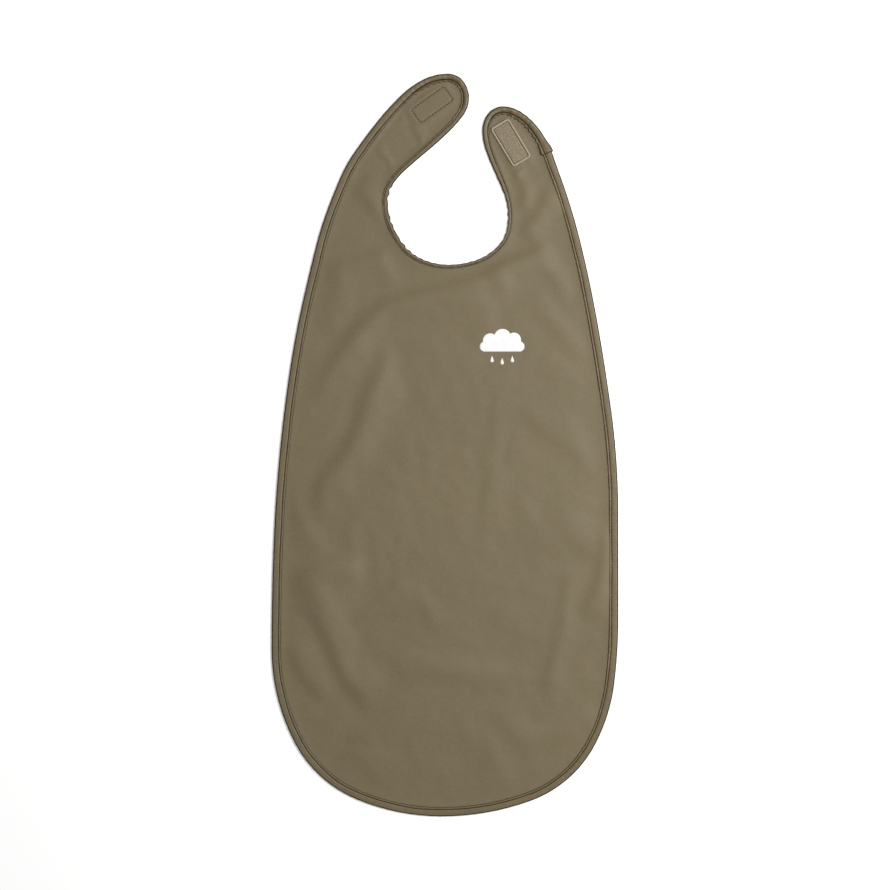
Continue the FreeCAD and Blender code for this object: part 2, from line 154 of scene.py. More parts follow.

# Which two bodies each piece of cloth joins, over which fold, and how far a bend would reach before and
# after it; the pieces are not bent here.  Where the first body lies on the floor such a bend starts late,
# or the cloth would dip into it.
PIECES = {
    "body": ("chest", "apron", "lap_fold", 7.0, 12.0),
    "left_root": ("chest", "left_shoulder", "left_root_fold", 6.0, 15.0),
    "left_tip": ("left_shoulder", "left_strap", "left_tip_fold", 12.0, 12.0),
    "right_root": ("chest", "right_shoulder", "right_root_fold", 6.0, 15.0),
    "right_tip": ("right_shoulder", "right_strap", "right_tip_fold", 11.0, 11.0),
}
PANEL_NODES = {"body": ("panel_chest", "panel_apron")}
SEAM_NODES = {"body": ("seam_thread_chest", "seam_thread_apron")}
TAPE_NODES = {
    "body_side": ("binding_chest_left", "binding_chest_right", "binding_apron"),
    "body_neck": ("binding_chest_neck",),
}
for side in ("left", "right"):
    for piece, part_name in (("_root", "_shoulder"), ("_tip", "_strap")):
        PANEL_NODES[side + piece] = ("panel_" + side + part_name,)
        SEAM_NODES[side + piece] = ("seam_thread_" + side + part_name,)
    TAPE_NODES[side + "_root_side"] = ("binding_" + side + "_shoulder_side",)
    TAPE_NODES[side + "_root_neck"] = ("binding_" + side + "_shoulder_neck",)
    TAPE_NODES[side + "_tip_side"] = ("binding_" + side + "_strap",)


# ---------------------------------------------------------------- heights and places from the frame

def node_middle(node):
    low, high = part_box(node)
    return np.array([(low[i] + high[i]) / 2 for i in range(3)]) / MM


def node_heights(node):
    low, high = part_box(node)
    return low[2] / MM, high[2] / MM


PANEL_LOW, PANEL_HIGH = node_heights("panel_chest")
PANEL_MIDDLE = (PANEL_LOW + PANEL_HIGH) / 2
TAPE_TOP = node_heights("binding_apron")[1]
HOOK_CENTRE = node_middle("hook_patch")[:2]
LOOP_CENTRE = node_middle("loop_patch")[:2]


def unit(degrees):
    return np.array([math.cos(math.radians(degrees)), math.sin(math.radians(degrees))])


def left_of(direction):
    return np.array([-direction[1], direction[0]])


def fold_line(name):
    """A point on the fold and the direction of its axis, in the plane."""
    joint = JOINTS[name]
    return np.array(joint["pos_m"][:2]) / MM, np.array(joint["axis"][:2])


def smooth_step(value):
    value = np.clip(value, 0.0, 1.0)
    return value * value * (3.0 - 2.0 * value)


def bell(distance, width):
    return np.exp(-(distance / width) ** 2)


# ---------------------------------------------------------------- the outer edge as stations

EDGE_STEP = 0.4            # between points on the edge's arcs
CURVE_STEP = 3.0           # between points on a fold's curve


def arc_points(start, direction, end):
    """Points and headings along the arc that leaves start along direction and reaches end."""
    chord = end - start
    bend = 2.0 * chord @ left_of(direction)
    length = np.linalg.norm(chord)
    if abs(bend) < 1e-6:
        count = max(2, int(length / EDGE_STEP))
        shares = np.linspace(0.0, 1.0, count, endpoint=False)
        return start + shares[:, None] * chord, np.repeat(direction[None], count, axis=0)
    radius = chord @ chord / bend
    centre = start + left_of(direction) * radius
    turn = 2.0 * math.asin(max(-1.0, min(1.0, length / (2.0 * radius))))
    count = max(2, int(abs(turn * radius) / EDGE_STEP))
    turns = np.linspace(0.0, turn, count, endpoint=False)
    begin = math.atan2(start[1] - centre[1], start[0] - centre[0])
    around = np.stack([np.cos(begin + turns), np.sin(begin + turns)], axis=1)
    heading = math.atan2(direction[1], direction[0]) + turns
    return centre + abs(radius) * around, np.stack([np.cos(heading), np.sin(heading)], axis=1)


def arc_join(start, start_direction, end, end_direction):
    """Where two tangent arcs from one edge point to the next meet."""
    chord = end - start
    square = 2.0 * (1.0 - start_direction @ end_direction)
    linear = 2.0 * chord @ (start_direction + end_direction)
    constant = -chord @ chord
    if square < 1e-9:
        arm = -constant / linear
    else:
        arm = (math.sqrt(linear * linear - 4.0 * square * constant) - linear) / (2.0 * square)
    return (start + start_direction * arm + end - end_direction * arm) / 2.0


WAVE_TERMS = 14


class EdgePath:
    """The closed outer edge, sampled evenly: place, inward normal, tape width, length along."""

    def __init__(self):
        places, headings, widths, marks = [], [], [], []
        for index, (name, x, y, heading, width) in enumerate(EDGE):
            _, next_x, next_y, next_heading, next_width = EDGE[(index + 1) % len(EDGE)]
            start, end = np.array([x, y]), np.array([next_x, next_y])
            start_direction, end_direction = unit(heading), unit(next_heading)
            join = arc_join(start, start_direction, end, end_direction)
            first = arc_points(start, start_direction, join)
            chord = (join - start) / np.linalg.norm(join - start)
            join_direction = 2.0 * (start_direction @ chord) * chord - start_direction
            second = arc_points(join, join_direction, end)
            marks.append((name, sum(len(p) for p in places)))
            count = len(first[0]) + len(second[0])
            places += [first[0], second[0]]
            headings += [first[1], second[1]]
            shares = smooth_step(np.arange(count) / count)
            widths.append(width + (next_width - width) * shares)
        place = np.concatenate(places)
        heading = np.concatenate(headings)
        width = np.concatenate(widths)
        gaps = np.linalg.norm(np.roll(place, -1, axis=0) - place, axis=1)
        along = np.concatenate([[0.0], np.cumsum(gaps)])
        self.length = along[-1]
        self.stitches = int(round(self.length / STITCH_PITCH))
        self.count = self.stitches * STATIONS_PER_STITCH
        self.along = np.arange(self.count) * self.length / self.count
        self.place = self._spread(along, place)
        heading = self._spread(along, heading)
        heading /= np.linalg.norm(heading, axis=1)[:, None]
        self.heading = heading
        self.normal = np.stack([-heading[:, 1], heading[:, 0]], axis=1)
        self.width = self._spread(along, width[:, None])[:, 0]
        self.mark = {name: along[index] for name, index in marks}

    def _spread(self, along, values):
        closed = np.concatenate([values, values[:1]])
        columns = [np.interp(self.along, along, column) for column in closed.T]
        return np.stack(columns, axis=1)

    def distance_from(self, name):
        gap = np.abs(self.along - self.mark[name])
        return np.minimum(gap, self.length - gap)

    def wave(self, shortest, longest, seed):
        """A smooth random wave round the edge, about -1 to 1, with wavelengths in a range."""
        dice = random.Random(seed)
        total = np.zeros(self.count)
        for _ in range(WAVE_TERMS):
            turns = round(self.length / dice.uniform(shortest, longest))
            total += np.sin(2 * math.pi * (turns * self.along / self.length + dice.random()))
        return total / math.sqrt(WAVE_TERMS)


PATH = EdgePath()
TIPNESS = bell(PATH.distance_from("left_tip"), 42.0) + bell(PATH.distance_from("right_tip_out"), 38.0)
NECKNESS = smooth_step((PATH.along - PATH.mark["right_strap_in"]) / 25.0)
NECKNESS *= smooth_step((PATH.mark["left_strap_in"] - PATH.along) / 25.0)


# ---------------------------------------------------------------- which piece a place belongs to

def beyond(points, origin, direction):
    """How far each point lies to the left of a line."""
    away = points - origin
    return direction[0] * away[:, 1] - direction[1] * away[:, 0]


PARTING_MARGIN = 2.0       # from where a shoulder starts to bend to where it is parted from the chest


def parting_lines():
    """Lines where the finished cloth is parted: origin near the neck's middle and direction outwards.
    Each lies where both sides would follow one body."""
    lines = {}
    for side in ("left", "right"):
        root, root_axis = fold_line(side + "_root_fold")
        tip, tip_axis = fold_line(side + "_tip_fold")
        outwards = 1.0 if side == "right" else -1.0
        root_axis, tip_axis = root_axis * outwards, tip_axis * outwards
        crossing = np.linalg.solve(np.stack([root_axis, -tip_axis], axis=1), tip - root)
        apex = root + root_axis * crossing[0]
        to_chest = left_of(root_axis) * (1.0 if side == "left" else -1.0)
        lines[side + "_root"] = (apex + to_chest * (PIECES[side + "_root"][3] + PARTING_MARGIN), root_axis)
        middle = root_axis + tip_axis
        lines[side + "_tip"] = (apex, middle / np.linalg.norm(middle))
    return lines


PARTINGS = parting_lines()


def piece_of(points):
    """The name of the piece that each point belongs to."""
    label = np.full(len(points), "body", dtype="<U16")
    is_left = points[:, 0] < STRAP_PARTING_X
    for name, is_own, sign in (("left_root", is_left, -1), ("right_root", ~is_left, 1)):
        is_past_root = is_own & (sign * beyond(points, *PARTINGS[name]) > 0)
        tip = name.replace("root", "tip")
        label[is_past_root] = name
        label[is_past_root & (sign * beyond(points, *PARTINGS[tip]) > 0)] = tip
    return label


NECK_MIDDLE = np.array([2.0, 224.0])
NECK_ZONE = 84.0           # tape nearer than this to the neck's middle is on the neck edge


def tape_label(points):
    """The piece's name and which of its two edges; on the straps' tips both count as side."""
    labels = piece_of(points)
    is_neck = np.linalg.norm(points - NECK_MIDDLE, axis=1) < NECK_ZONE
    is_neck &= ~np.char.endswith(labels, "_tip")
    return np.where(is_neck, np.char.add(labels, "_neck"), np.char.add(labels, "_side"))


# ---------------------------------------------------------------- mesh helpers

def linked_object(name, points, faces):
    mesh = bpy.data.meshes.new(name)
    mesh.from_pydata(np.asarray(points).tolist(), [], [tuple(f) for f in faces])
    thing = bpy.data.objects.new(name, mesh)
    bpy.context.scene.collection.objects.link(thing)
    return thing


def mesh_object(name, points, faces, material_indices=None):
    """A new smooth object from points in millimetres."""
    thing = linked_object(name, np.asarray(points) * MM, faces)
    mesh = thing.data
    if material_indices is not None:
        mesh.polygons.foreach_set("material_index", material_indices)
    mesh.polygons.foreach_set("use_smooth", [True] * len(mesh.polygons))
    mesh.update()
    return thing


def square(name, half):
    """A flat square on the floor, in metres."""
    corners = [(-half, -half, 0.0), (half, -half, 0.0), (half, half, 0.0), (-half, half, 0.0)]
    return linked_object(name, corners, [(0, 1, 2, 3)])


def cut_along_partings(bm):
    """Adds edges where the parting lines cross, each line on its own side only."""
    for name, (origin, direction) in PARTINGS.items():
        across = left_of(direction)
        near = []
        for face in bm.faces:
            middle = np.array(face.calc_center_median()[:2]) / MM
            on_side = (middle[0] < STRAP_PARTING_X) == name.startswith("left")
            if on_side and abs((middle - origin) @ across) < 2.0 * CELL:
                near.append(face)
        edges = {edge for face in near for edge in face.edges}
        verts = {vert for face in near for vert in face.verts}
        bmesh.ops.bisect_plane(bm, geom=near + list(edges) + list(verts), dist=1e-7,
                               plane_co=(origin[0] * MM, origin[1] * MM, 0.0),
                               plane_no=(across[0], across[1], 0.0))


def part(name, points, faces, normals, materials, label_of):
    """Cuts a closed mesh along the parting lines, and makes one closed object of each label.
    Shading normals are those of the whole, so that no cut shows."""
    mesh = bpy.data.meshes.new(name)
    mesh.from_pydata((points * MM).tolist(), [], [tuple(f) for f in faces])
    mesh.polygons.foreach_set("material_index", materials)
    layer = mesh.attributes.new("whole_normal", "FLOAT_VECTOR", "POINT")
    layer.data.foreach_set("vector", normals.astype(np.float32).ravel())
    whole = bmesh.new()
    whole.from_mesh(mesh)
    bpy.data.meshes.remove(mesh)
    cut_along_partings(whole)
    centres = np.array([face.calc_center_median()[:2] for face in whole.faces]) / MM
    labels = label_of(centres)
    made = {}
    for label in sorted(set(labels)):
        own = whole.copy()
        others = [face for face, other in zip(own.faces, labels) if other != label]
        bmesh.ops.delete(own, geom=others, context="FACES")
        real = len(own.faces)
        open_edges = [edge for edge in own.edges if edge.is_boundary]
        bmesh.ops.holes_fill(own, edges=open_edges, sides=0)
        made[label] = finished_piece(name + "_" + label, own, real)
        own.free()
    whole.free()
    return made


def finished_piece(name, bm, real):
    """Turns a bmesh into an object.  Faces from number real on are the flat ends."""
    bm.faces.ensure_lookup_table()
    bm.normal_update()
    mesh = bpy.data.meshes.new(name)
    bm.to_mesh(mesh)
    mesh.polygons.foreach_set("use_smooth", [True] * len(mesh.polygons))
    values = np.zeros(len(mesh.vertices) * 3, np.float32)
    mesh.attributes["whole_normal"].data.foreach_get("vector", values)
    values = values.reshape(-1, 3)
    values /= np.maximum(np.linalg.norm(values, axis=1), 1e-9)[:, None]
    corners = np.zeros(len(mesh.loops), np.int32)
    mesh.loops.foreach_get("vertex_index", corners)
    loop_normals = values[corners]
    for face in mesh.polygons[real:]:
        loop_normals[face.loop_start:face.loop_start + face.loop_total] = face.normal
    mesh.attributes.remove(mesh.attributes["whole_normal"])
    mesh.normals_split_custom_set(loop_normals.tolist())
    thing = bpy.data.objects.new(name, mesh)
    bpy.context.scene.collection.objects.link(thing)
    return thing


def edge_cross(points, triangles):
    """The cross product of two of each triangle's edges, twice its area long."""
    a, b, c = (points[triangles[:, i]] for i in range(3))
    return np.cross(b - a, c - a)


def vertex_normals(points, triangles):
    normals = np.zeros_like(points)
    faces = edge_cross(points, triangles)
    for corner in range(3):
        np.add.at(normals, triangles[:, corner], faces)
    return normals / np.maximum(np.linalg.norm(normals, axis=1), 1e-12)[:, None]


def smoothed(points, triangles, free, rounds):
    """Moves each free point half-way to the mean of its neighbours."""
    pairs = np.concatenate([triangles[:, [0, 1]], triangles[:, [1, 2]], triangles[:, [2, 0]]])
    pairs = np.concatenate([pairs, pairs[:, ::-1]])
    count = np.bincount(pairs[:, 0], minlength=len(points))[:, None]
    points = points.copy()
    for _ in range(rounds):
        total = np.zeros_like(points)
        np.add.at(total, pairs[:, 0], points[pairs[:, 1]])
        mean = total / np.maximum(count, 1)
        points += (mean - points) * (0.5 * free[:, None])
    return points


def turned_frame(points, centre, degrees):
    """Points in the frame of a patch: along and across it."""
    along = unit(degrees)
    away = points - centre
    return away @ along, away @ left_of(along)


def rounded_box_distance(along, across, length, width, corner):
    """Distance to the outline of a rounded rectangle, negative inside."""
    out_x = np.abs(along) - length / 2 + corner
    out_y = np.abs(across) - width / 2 + corner
    outside = np.hypot(np.maximum(out_x, 0), np.maximum(out_y, 0))
    return outside + np.minimum(np.maximum(out_x, out_y), 0) - corner


# ---------------------------------------------------------------- the cloth

def edge_distance(points, outline):
    """Distance from each point to the nearest outline point, and that point's index."""
    tree = KDTree(len(outline))
    for number, place in enumerate(outline):
        tree.insert((place[0], place[1], 0.0), number)
    tree.balance()
    found = [tree.find((x, y, 0.0)) for x, y in points.tolist()]
    return np.array([hit[2] for hit in found]), np.array([hit[1] for hit in found], int)


def inside_outline(points, outline):
    """Even-odd test."""
    inside = np.zeros(len(points), bool)
    ends = np.roll(outline, -1, axis=0)
    for start, end in zip(outline, ends):
        if start[1] == end[1]:
            continue
        crosses = (start[1] > points[:, 1]) != (end[1] > points[:, 1])
        where = start[0] + (points[:, 1] - start[1]) * (end[0] - start[0]) / (end[1] - start[1])
        inside ^= crosses & (points[:, 0] < where)
    return inside


def lattice(cell, low, high):
    """Points of a triangular lattice over a box."""
    rows = np.arange(low[1], high[1], cell * math.sqrt(3) / 2)
    columns = np.arange(low[0], high[0], cell)
    grid = []
    for index, y in enumerate(rows):
        x = columns + (cell / 2 if index % 2 else 0.0)
        grid.append(np.stack([x, np.full(len(x), y)], axis=1))
    return np.concatenate(grid)


def cloth_outline():
    """The cut edge of the cloth, hidden in the folded tape: every third station."""
    inset = CLOTH_REACH * PATH.width
    return (PATH.place + PATH.normal * inset[:, None])[::3]


def triangulated(outline, grid):
    """Points and faces that fill an outline and use the grid points in it."""
    points = [Vector(p) for p in np.concatenate([outline, grid])]
    result = delaunay_2d_cdt(points, [], [list(range(len(outline)))], 1, 1e-5)
    return np.array([(p.x, p.y) for p in result[0]]), result[2]


def cut_cloth():
    """The flat sheet: points, triangles and each point's distance from its edge."""
    outline = cloth_outline()
    low, high = outline.min(axis=0), outline.max(axis=0)
    coarse_end = FINE_ABOVE_Y - CELL / 2
    coarse = lattice(CELL, low, high)
    fine = lattice(FINE_CELL, (low[0], FINE_ABOVE_Y), high)
    grid = np.concatenate([coarse[coarse[:, 1] < coarse_end], fine])
    grid = grid[inside_outline(grid, outline)]
    cell = np.where(grid[:, 1] < coarse_end, CELL, FINE_CELL)
    gap, _ = edge_distance(grid, outline)
    flat, triangles = triangulated(outline, grid[gap > 0.55 * cell])
    triangles = np.array([f for f in triangles if len(f) == 3])
    area = edge_cross(flat, triangles)
    triangles[area < 0] = triangles[area < 0][:, ::-1]
    triangles = triangles[np.abs(area) > 1e-4]
    gap, _ = edge_distance(flat, outline)
    return flat, triangles, gap


def curve_through(corners):
    """A smooth curve through a few points (Catmull-Rom), evenly sampled."""
    corners = np.array(corners, float)
    ends = np.concatenate([[2 * corners[0] - corners[1]], corners, [2 * corners[-1] - corners[-2]]])
    curve = []
    for a, b, c, d in zip(ends, ends[1:], ends[2:], ends[3:]):
        count = max(2, int(np.linalg.norm(c - b) / CURVE_STEP))
        t = np.linspace(0, 1, count, endpoint=False)[:, None]
        curve.append(0.5 * (2 * b + (c - a) * t + (2 * a - 5 * b + 4 * c - d) * t ** 2
                            + (3 * b - a - 3 * c + d) * t ** 3))
    curve.append(corners[-1:])
    return np.concatenate(curve)


FOLD_FADE = 0.25           # share of a fold's length over which each end fades


def fold_height(flat):
    """All the soft folds: each a ridge with one steep and one soft side, fading at its ends."""
    height = np.zeros(len(flat))
    for corners, rise, steep, soft in FOLDS:
        curve = curve_through(corners)
        side = -1.0 if rise > 0 else 1.0
        direction = np.gradient(curve, axis=0)
        direction /= np.linalg.norm(direction, axis=1)[:, None]
        gap, index = edge_distance(flat, curve)
        away = flat - curve[index]
        across = side * (direction[index, 0] * away[:, 1] - direction[index, 1] * away[:, 0])
        run = index / (len(curve) - 1)
        fade = smooth_step(run / FOLD_FADE) * smooth_step((1 - run) / FOLD_FADE)
        fade *= bell(np.abs(gap - np.abs(across)), steep)
        crest = across - steep
        profile = np.where(crest < 0, bell(crest, steep), bell(crest, soft))
        height += abs(rise) * fade * profile
    return height


def random_swell(flat):
    """Broad, faint unevenness of cloth that was folded and laid out again."""
    dice = random.Random(5)
    height = np.zeros(len(flat))
    for _ in range(16):
        direction = unit(dice.uniform(0, 180))
        wavelength = dice.uniform(70.0, 200.0)
        phase = dice.uniform(0, 2 * math.pi)
        height += np.sin(2 * math.pi * (flat @ direction) / wavelength + phase)
    return 0.5 + 0.5 * height / 4.0


SETTLE_FRAMES = 14
SETTLE_GRAVITY = 0.05
SETTLE_BENDING = 60.0
SETTLE_GROWTH = 0.0004
SETTLE_SCALE = 10.0


def settle(points, triangles, pinned):
    """Lets the cloth fall onto the table and buckle a little inside its stitched edge.
    Ten times life size, where Blender's collision distances are small enough."""
    scale = SETTLE_SCALE * MM
    scene = bpy.context.scene
    cloth = linked_object("settling", points * scale, triangles.tolist())
    group = cloth.vertex_groups.new(name="edge")
    for index in np.nonzero(pinned > 0.01)[0]:
        group.add([int(index)], float(pinned[index]), "REPLACE")
    modifier = cloth.modifiers.new("Cloth", "CLOTH")
    settings = modifier.settings
    settings.quality = 5
    settings.mass = 0.25
    settings.air_damping = 2.0
    settings.tension_stiffness = 25.0
    settings.compression_stiffness = 25.0
    settings.shear_stiffness = 12.0
    settings.bending_stiffness = SETTLE_BENDING
    settings.effector_weights.gravity = SETTLE_GRAVITY
    settings.vertex_group_mass = "edge"
    settings.shrink_min = -SETTLE_GROWTH
    modifier.collision_settings.distance_min = 0.003
    modifier.collision_settings.use_self_collision = False
    floor = square("settling_floor", 6.0)
    floor.modifiers.new("Collision", "COLLISION")
    floor.collision.thickness_outer = 0.001
    scene.frame_start, scene.frame_end = 1, SETTLE_FRAMES
    for number in range(1, SETTLE_FRAMES + 1):
        scene.frame_set(number)
    view = cloth.evaluated_get(bpy.context.evaluated_depsgraph_get())
    moved = np.array([v.co for v in view.data.vertices]) / scale
    for thing in (cloth, floor):
        data = thing.data
        bpy.data.objects.remove(thing)
        bpy.data.meshes.remove(data)
    scene.frame_set(1)
    return moved


def patch_distance(flat, centre, degrees, inset=0.0):
    along, across = turned_frame(flat, centre, degrees)
    length, width = (size - 2 * inset for size in PATCH_SIZE)
    return rounded_box_distance(along, across, length, width, PATCH_CORNER)


MOST_SETTLING = 7.0
HIGHEST_FOLD = 3.5         # above the tape
HOOK_SEAM_DEPTH = 0.42     # how far the hook patch's stitches pull the cloth down


def lay_cloth():
    """The finished middle surface of the cloth."""
    flat, triangles, gap = cut_cloth()
    in_tape = 1.0 - smooth_step((gap - 2.0) / 9.0)
    swell = 0.40 + 0.5 * random_swell(flat) + fold_height(flat)
    height = PANEL_MIDDLE * in_tape + swell * (1.0 - in_tape)
    points = np.concatenate([flat, height[:, None]], axis=1)
    patches = np.zeros(len(flat))
    for centre, degrees in ((HOOK_CENTRE, HOOK_ANGLE), (LOOP_CENTRE, LOOP_ANGLE)):
        flatness = 1.0 - smooth_step(patch_distance(flat, centre, degrees) / 6.0)
        patches = np.maximum(patches, flatness)
    points[:, 2] = points[:, 2] * (1 - patches) + PANEL_MIDDLE * patches
    pinned = np.maximum(1.0 - smooth_step((gap - 1.0) / 4.0), patches > 0.99)
    moved = settle(points, triangles, pinned)
    step = moved - points
    reach = np.linalg.norm(step, axis=1)[:, None]
    points = points + step * np.minimum(1.0, MOST_SETTLING / np.maximum(reach, 1e-9))
    points = smoothed(points, triangles, 1.0 - pinned, 6)
    seam = patch_distance(flat, HOOK_CENTRE, HOOK_ANGLE, PATCH_SEAM_MARGIN)
    points[:, 2] -= HOOK_SEAM_DEPTH * bell(seam, 0.8)
    points[:, 2] = np.clip(points[:, 2], CLOTH_THICKNESS / 2 + 0.1, TAPE_TOP + HIGHEST_FOLD)
    return flat, triangles, points


def two_layers(top, count):
    """Faces of a closed sheet: its top, its bottom, count points later, and the walls between them."""
    return top.tolist() + (top[:, ::-1] + count).tolist() + rim_faces(top, count)


def cloth_shell(triangles, points):
    """The closed cloth: both faces, half the thickness off the middle, and the cut edge."""
    normals = vertex_normals(points, triangles)
    offset = normals * CLOTH_THICKNESS / 2
    faces = two_layers(triangles, len(points))
    materials = [0] * len(triangles) + [1] * (len(faces) - len(triangles))
    return (np.concatenate([points + offset, points - offset]), faces,
            np.concatenate([normals, -normals]), materials)


def rim_faces(top, count):
    """Walls between the top and bottom layers along every open edge."""
    seen = {}
    for a, b, c in top.tolist():
        seen.update({(a, b): True, (b, c): True, (c, a): True})
    return [(b, a, a + count, b + count) for a, b in seen if (b, a) not in seen]


# ---------------------------------------------------------------- the binding tape

ROLL_RADIUS = 1.5          # of the tape's outer fold
SEAM_GROOVE = 0.5          # how deep the stitches sink in the top
LOW_GROOVE = 0.42          # and in the underside


# Rows of the tape's section under the cloth: share of the width, height, and how much it takes part in
# the puckers, the scalloped inner edge and the stitching.
UNDER_ROWS = [
    (0.985, 0.35, 0.2, 1.0, 0.0),
    (0.93, 0.05, 0.3, 0.9, 0.0),
    (0.84, 0.02, 0.3, 0.5, 0.3),
    (0.775, 0.12, 0.0, 0.2, 0.8),
    (SEAM_SHARE, LOW_GROOVE, 0.0, 0.0, 1.0),
    (0.68, 0.12, 0, 0, 0.8),
    (0.55, 0.02, 0.3, 0.0, 0.0),
    (0.36, 0.0, 0.4, 0.0, 0.0),
]
# The same over the cloth, with heights from the tape's top, and 1 where the next strip takes the
# near-black material: painted shade in the seam's channel and at the inner edge.
UPPER_ROWS = [
    (0.25, 0.0, 0.5, 0.0, -0.7, 0),
    (0.40, 0.02, 0.6, 0.0, -0.8, 0),
    (0.52, 0.0, 0.6, 0.0, 0.2, 0),
    (0.62, -0.06, 0.4, 0.0, 0.9, 0),
    (0.675, -0.30, 0.1, 0.0, 0.8, 0),
    (SEAM_SHARE - 0.040, -SEAM_GROOVE, 0.0, 0.0, 1.0, 1),
    (SEAM_SHARE + 0.040, -SEAM_GROOVE, 0.0, 0.0, 1.0, 0),
    (0.795, -0.28, 0.2, 0.2, 0.7, 0),
    (0.83, -0.06, 0.9, 0.5, 0.1, 0),
    (0.875, 0.05, 1.2, 0.8, -0.4, 0),
    (0.92, -0.03, 1.0, 1.0, -0.4, 0),
    (0.955, -0.30, 0.4, 1.0, -0.3, 1),
    (1.0, -0.95, 0.1, 1.0, 0.0, 1),
]
# The slot that holds the cloth: share of the width, and height from the middle.
SLOT_ROWS = [(0.96, 0.33), (0.55, 0.3), (0.36, 0.0), (0.55, -0.3), (0.96, -0.33)]


def tape_profile():
    """The tape's section, folded over the cloth's edge.  Each row: share of the width, roll radii from
    the outer fold, height, how much it takes part in the puckers, the scalloped inner edge, the wavy
    outer edge and the stitching, and the next strip's material: 0 tape, 1 near-black painted shade,
    2 darker tape on the outer fold, painted shade."""
    middle = TAPE_TOP / 2
    rows = [(1.0, 0.0, 0.75, 0.0, 1.0, 0.0, 0.0, 0)]
    for share, height, pucker, scallop, seam in UNDER_ROWS:
        rows.append((share, 0.0, height, -pucker, scallop, 0.0, -seam, 0))
    for degrees in range(-75, 76, 30):
        turn = math.radians(degrees)
        height = middle + (middle - 0.05) * math.sin(turn)
        # strips of the outer fold below 60 degrees take the darker tape copy: painted shade on the rolled
        # edge
        fold = 2 if degrees < 60 else 0
        rows.append((0.0, 1.0 - math.cos(turn), height, 0.0, 0.0, 1.0, 0.0, fold))
    for share, height, pucker, scallop, seam, crease_shade in UPPER_ROWS:
        rows.append((share, 0.0, TAPE_TOP + height, pucker, scallop, 0.0, seam, crease_shade))
    for share, height in SLOT_ROWS:
        rows.append((share, 0.0, middle + height, 0.0, 0.5, 0.0, 0.0, 1))
    return np.array(rows)


PROFILE = tape_profile()
MATERIAL_ROWS = PROFILE[:, 7].astype(int)
# The strips before the seam, which also take the near-black material where the tape goes round a
# strap's tip: painted shadow in the valley there.
SHADED_VALLEY_ROWS = np.flatnonzero((PROFILE[:, 0] > 0.60) & (PROFILE[:, 0] < SEAM_SHARE - 0.045)
                             & (PROFILE[:, 2] > TAPE_TOP / 2))
PUCKER = PATH.wave(4.5, 12.0, 11) * (0.06 + 0.30 * TIPNESS + 0.10 * NECKNESS)
SCALLOP = PATH.wave(4.5, 8.5, 12) * (0.10 + 0.60 * TIPNESS + 0.06 * NECKNESS)
OUTER_WAVE = PATH.wave(6.0, 11.0, 13) * (0.04 + 0.05 * TIPNESS + 0.30 * NECKNESS)
SLOW_RIPPLE = PATH.wave(18.0, 60.0, 14) * 0.12
SEAM_WOBBLE = PATH.wave(25.0, 90.0, 15) * 0.16
STITCH_PULL = 0.09         # how much each stitch dimples the tape
TIP_LIFT = 1.0 + 0.45 * PATH.wave(12.0, 40.0, 16)
TIP_GROOVE = 0.80          # the tape stands higher beside its stitching where it goes round a strap's tip
GROOVE_FLOOR = 1.62        # the stitching can't go lower than the cloth in the fold


def tape_surface(stations, rise=0.0, spread=0.0):
    """Points of the tape, stations by profile rows.  rise and spread make a second layer round it."""
    roll = np.minimum(ROLL_RADIUS, 0.3 * PATH.width)[stations]
    share, radii, height, pucker, scallop, outer, seam, _ = PROFILE.T
    inward = PATH.width[stations, None] * share + roll[:, None] * radii
    inward = inward + SCALLOP[stations, None] * scallop + OUTER_WAVE[stations, None] * outer
    inward = inward + SEAM_WOBBLE[stations, None] * np.abs(seam)
    inward = inward + spread * np.interp(share, [0.0, 0.3, 0.8, 1.0], [-1.0, -0.3, 0.3, 0.9])
    phase = 2 * math.pi * np.arange(PATH.count)[stations] / STATIONS_PER_STITCH
    up = height[None] + pucker[None] * (PUCKER + SLOW_RIPPLE)[stations, None]
    up = up + STITCH_PULL * np.cos(phase)[:, None] * np.maximum(seam, 0.0)[None]
    above = height > TAPE_TOP / 2
    up = up - TIP_GROOVE * (TIPNESS * TIP_LIFT)[stations, None] * seam[None] * above
    is_channel = (seam > 0.5) & above
    up = np.where(is_channel, np.maximum(up, GROOVE_FLOOR), up)
    up = up + rise * above
    place = PATH.place[stations, None, :] + PATH.normal[stations, None, :] * inward[:, :, None]
    return np.concatenate([place, np.maximum(up, 0.0)[:, :, None]], axis=2)


def swept_faces(stations, rows, closed):
    """Quads of a closed section swept along stations, one station after another, then the flat ends."""
    faces = []
    last = stations if closed else stations - 1
    for station in range(last):
        here, there = station * rows, (station + 1) % stations * rows
        for row in range(rows):
            beside = (row + 1) % rows
            faces.append((here + row, there + row, there + beside, here + beside))
    if not closed:
        faces += [tuple(range(rows)), tuple(range((stations - 1) * rows, stations * rows))[::-1]]
    return faces


def tape_shell():
    """The whole ring of tape."""
    surface = tape_surface(np.arange(PATH.count))
    stations, rows = surface.shape[:2]
    points = surface.reshape(-1, 3)
    faces = swept_faces(stations, rows, True)
    quads = np.array(faces)
    triangles = np.concatenate([quads[:, [0, 1, 2]], quads[:, [0, 2, 3]]])
    normals = vertex_normals(points, triangles)
    materials = np.tile(MATERIAL_ROWS, (stations, 1))
    # painted shadow along the tape's valley round the straps' tips
    materials[np.ix_(TIPNESS > 0.4, SHADED_VALLEY_ROWS)] = 1
    return points, faces, normals, materials.ravel()


LAP_ROUNDING = 1.2         # length of the lap's rounded, folded-under end


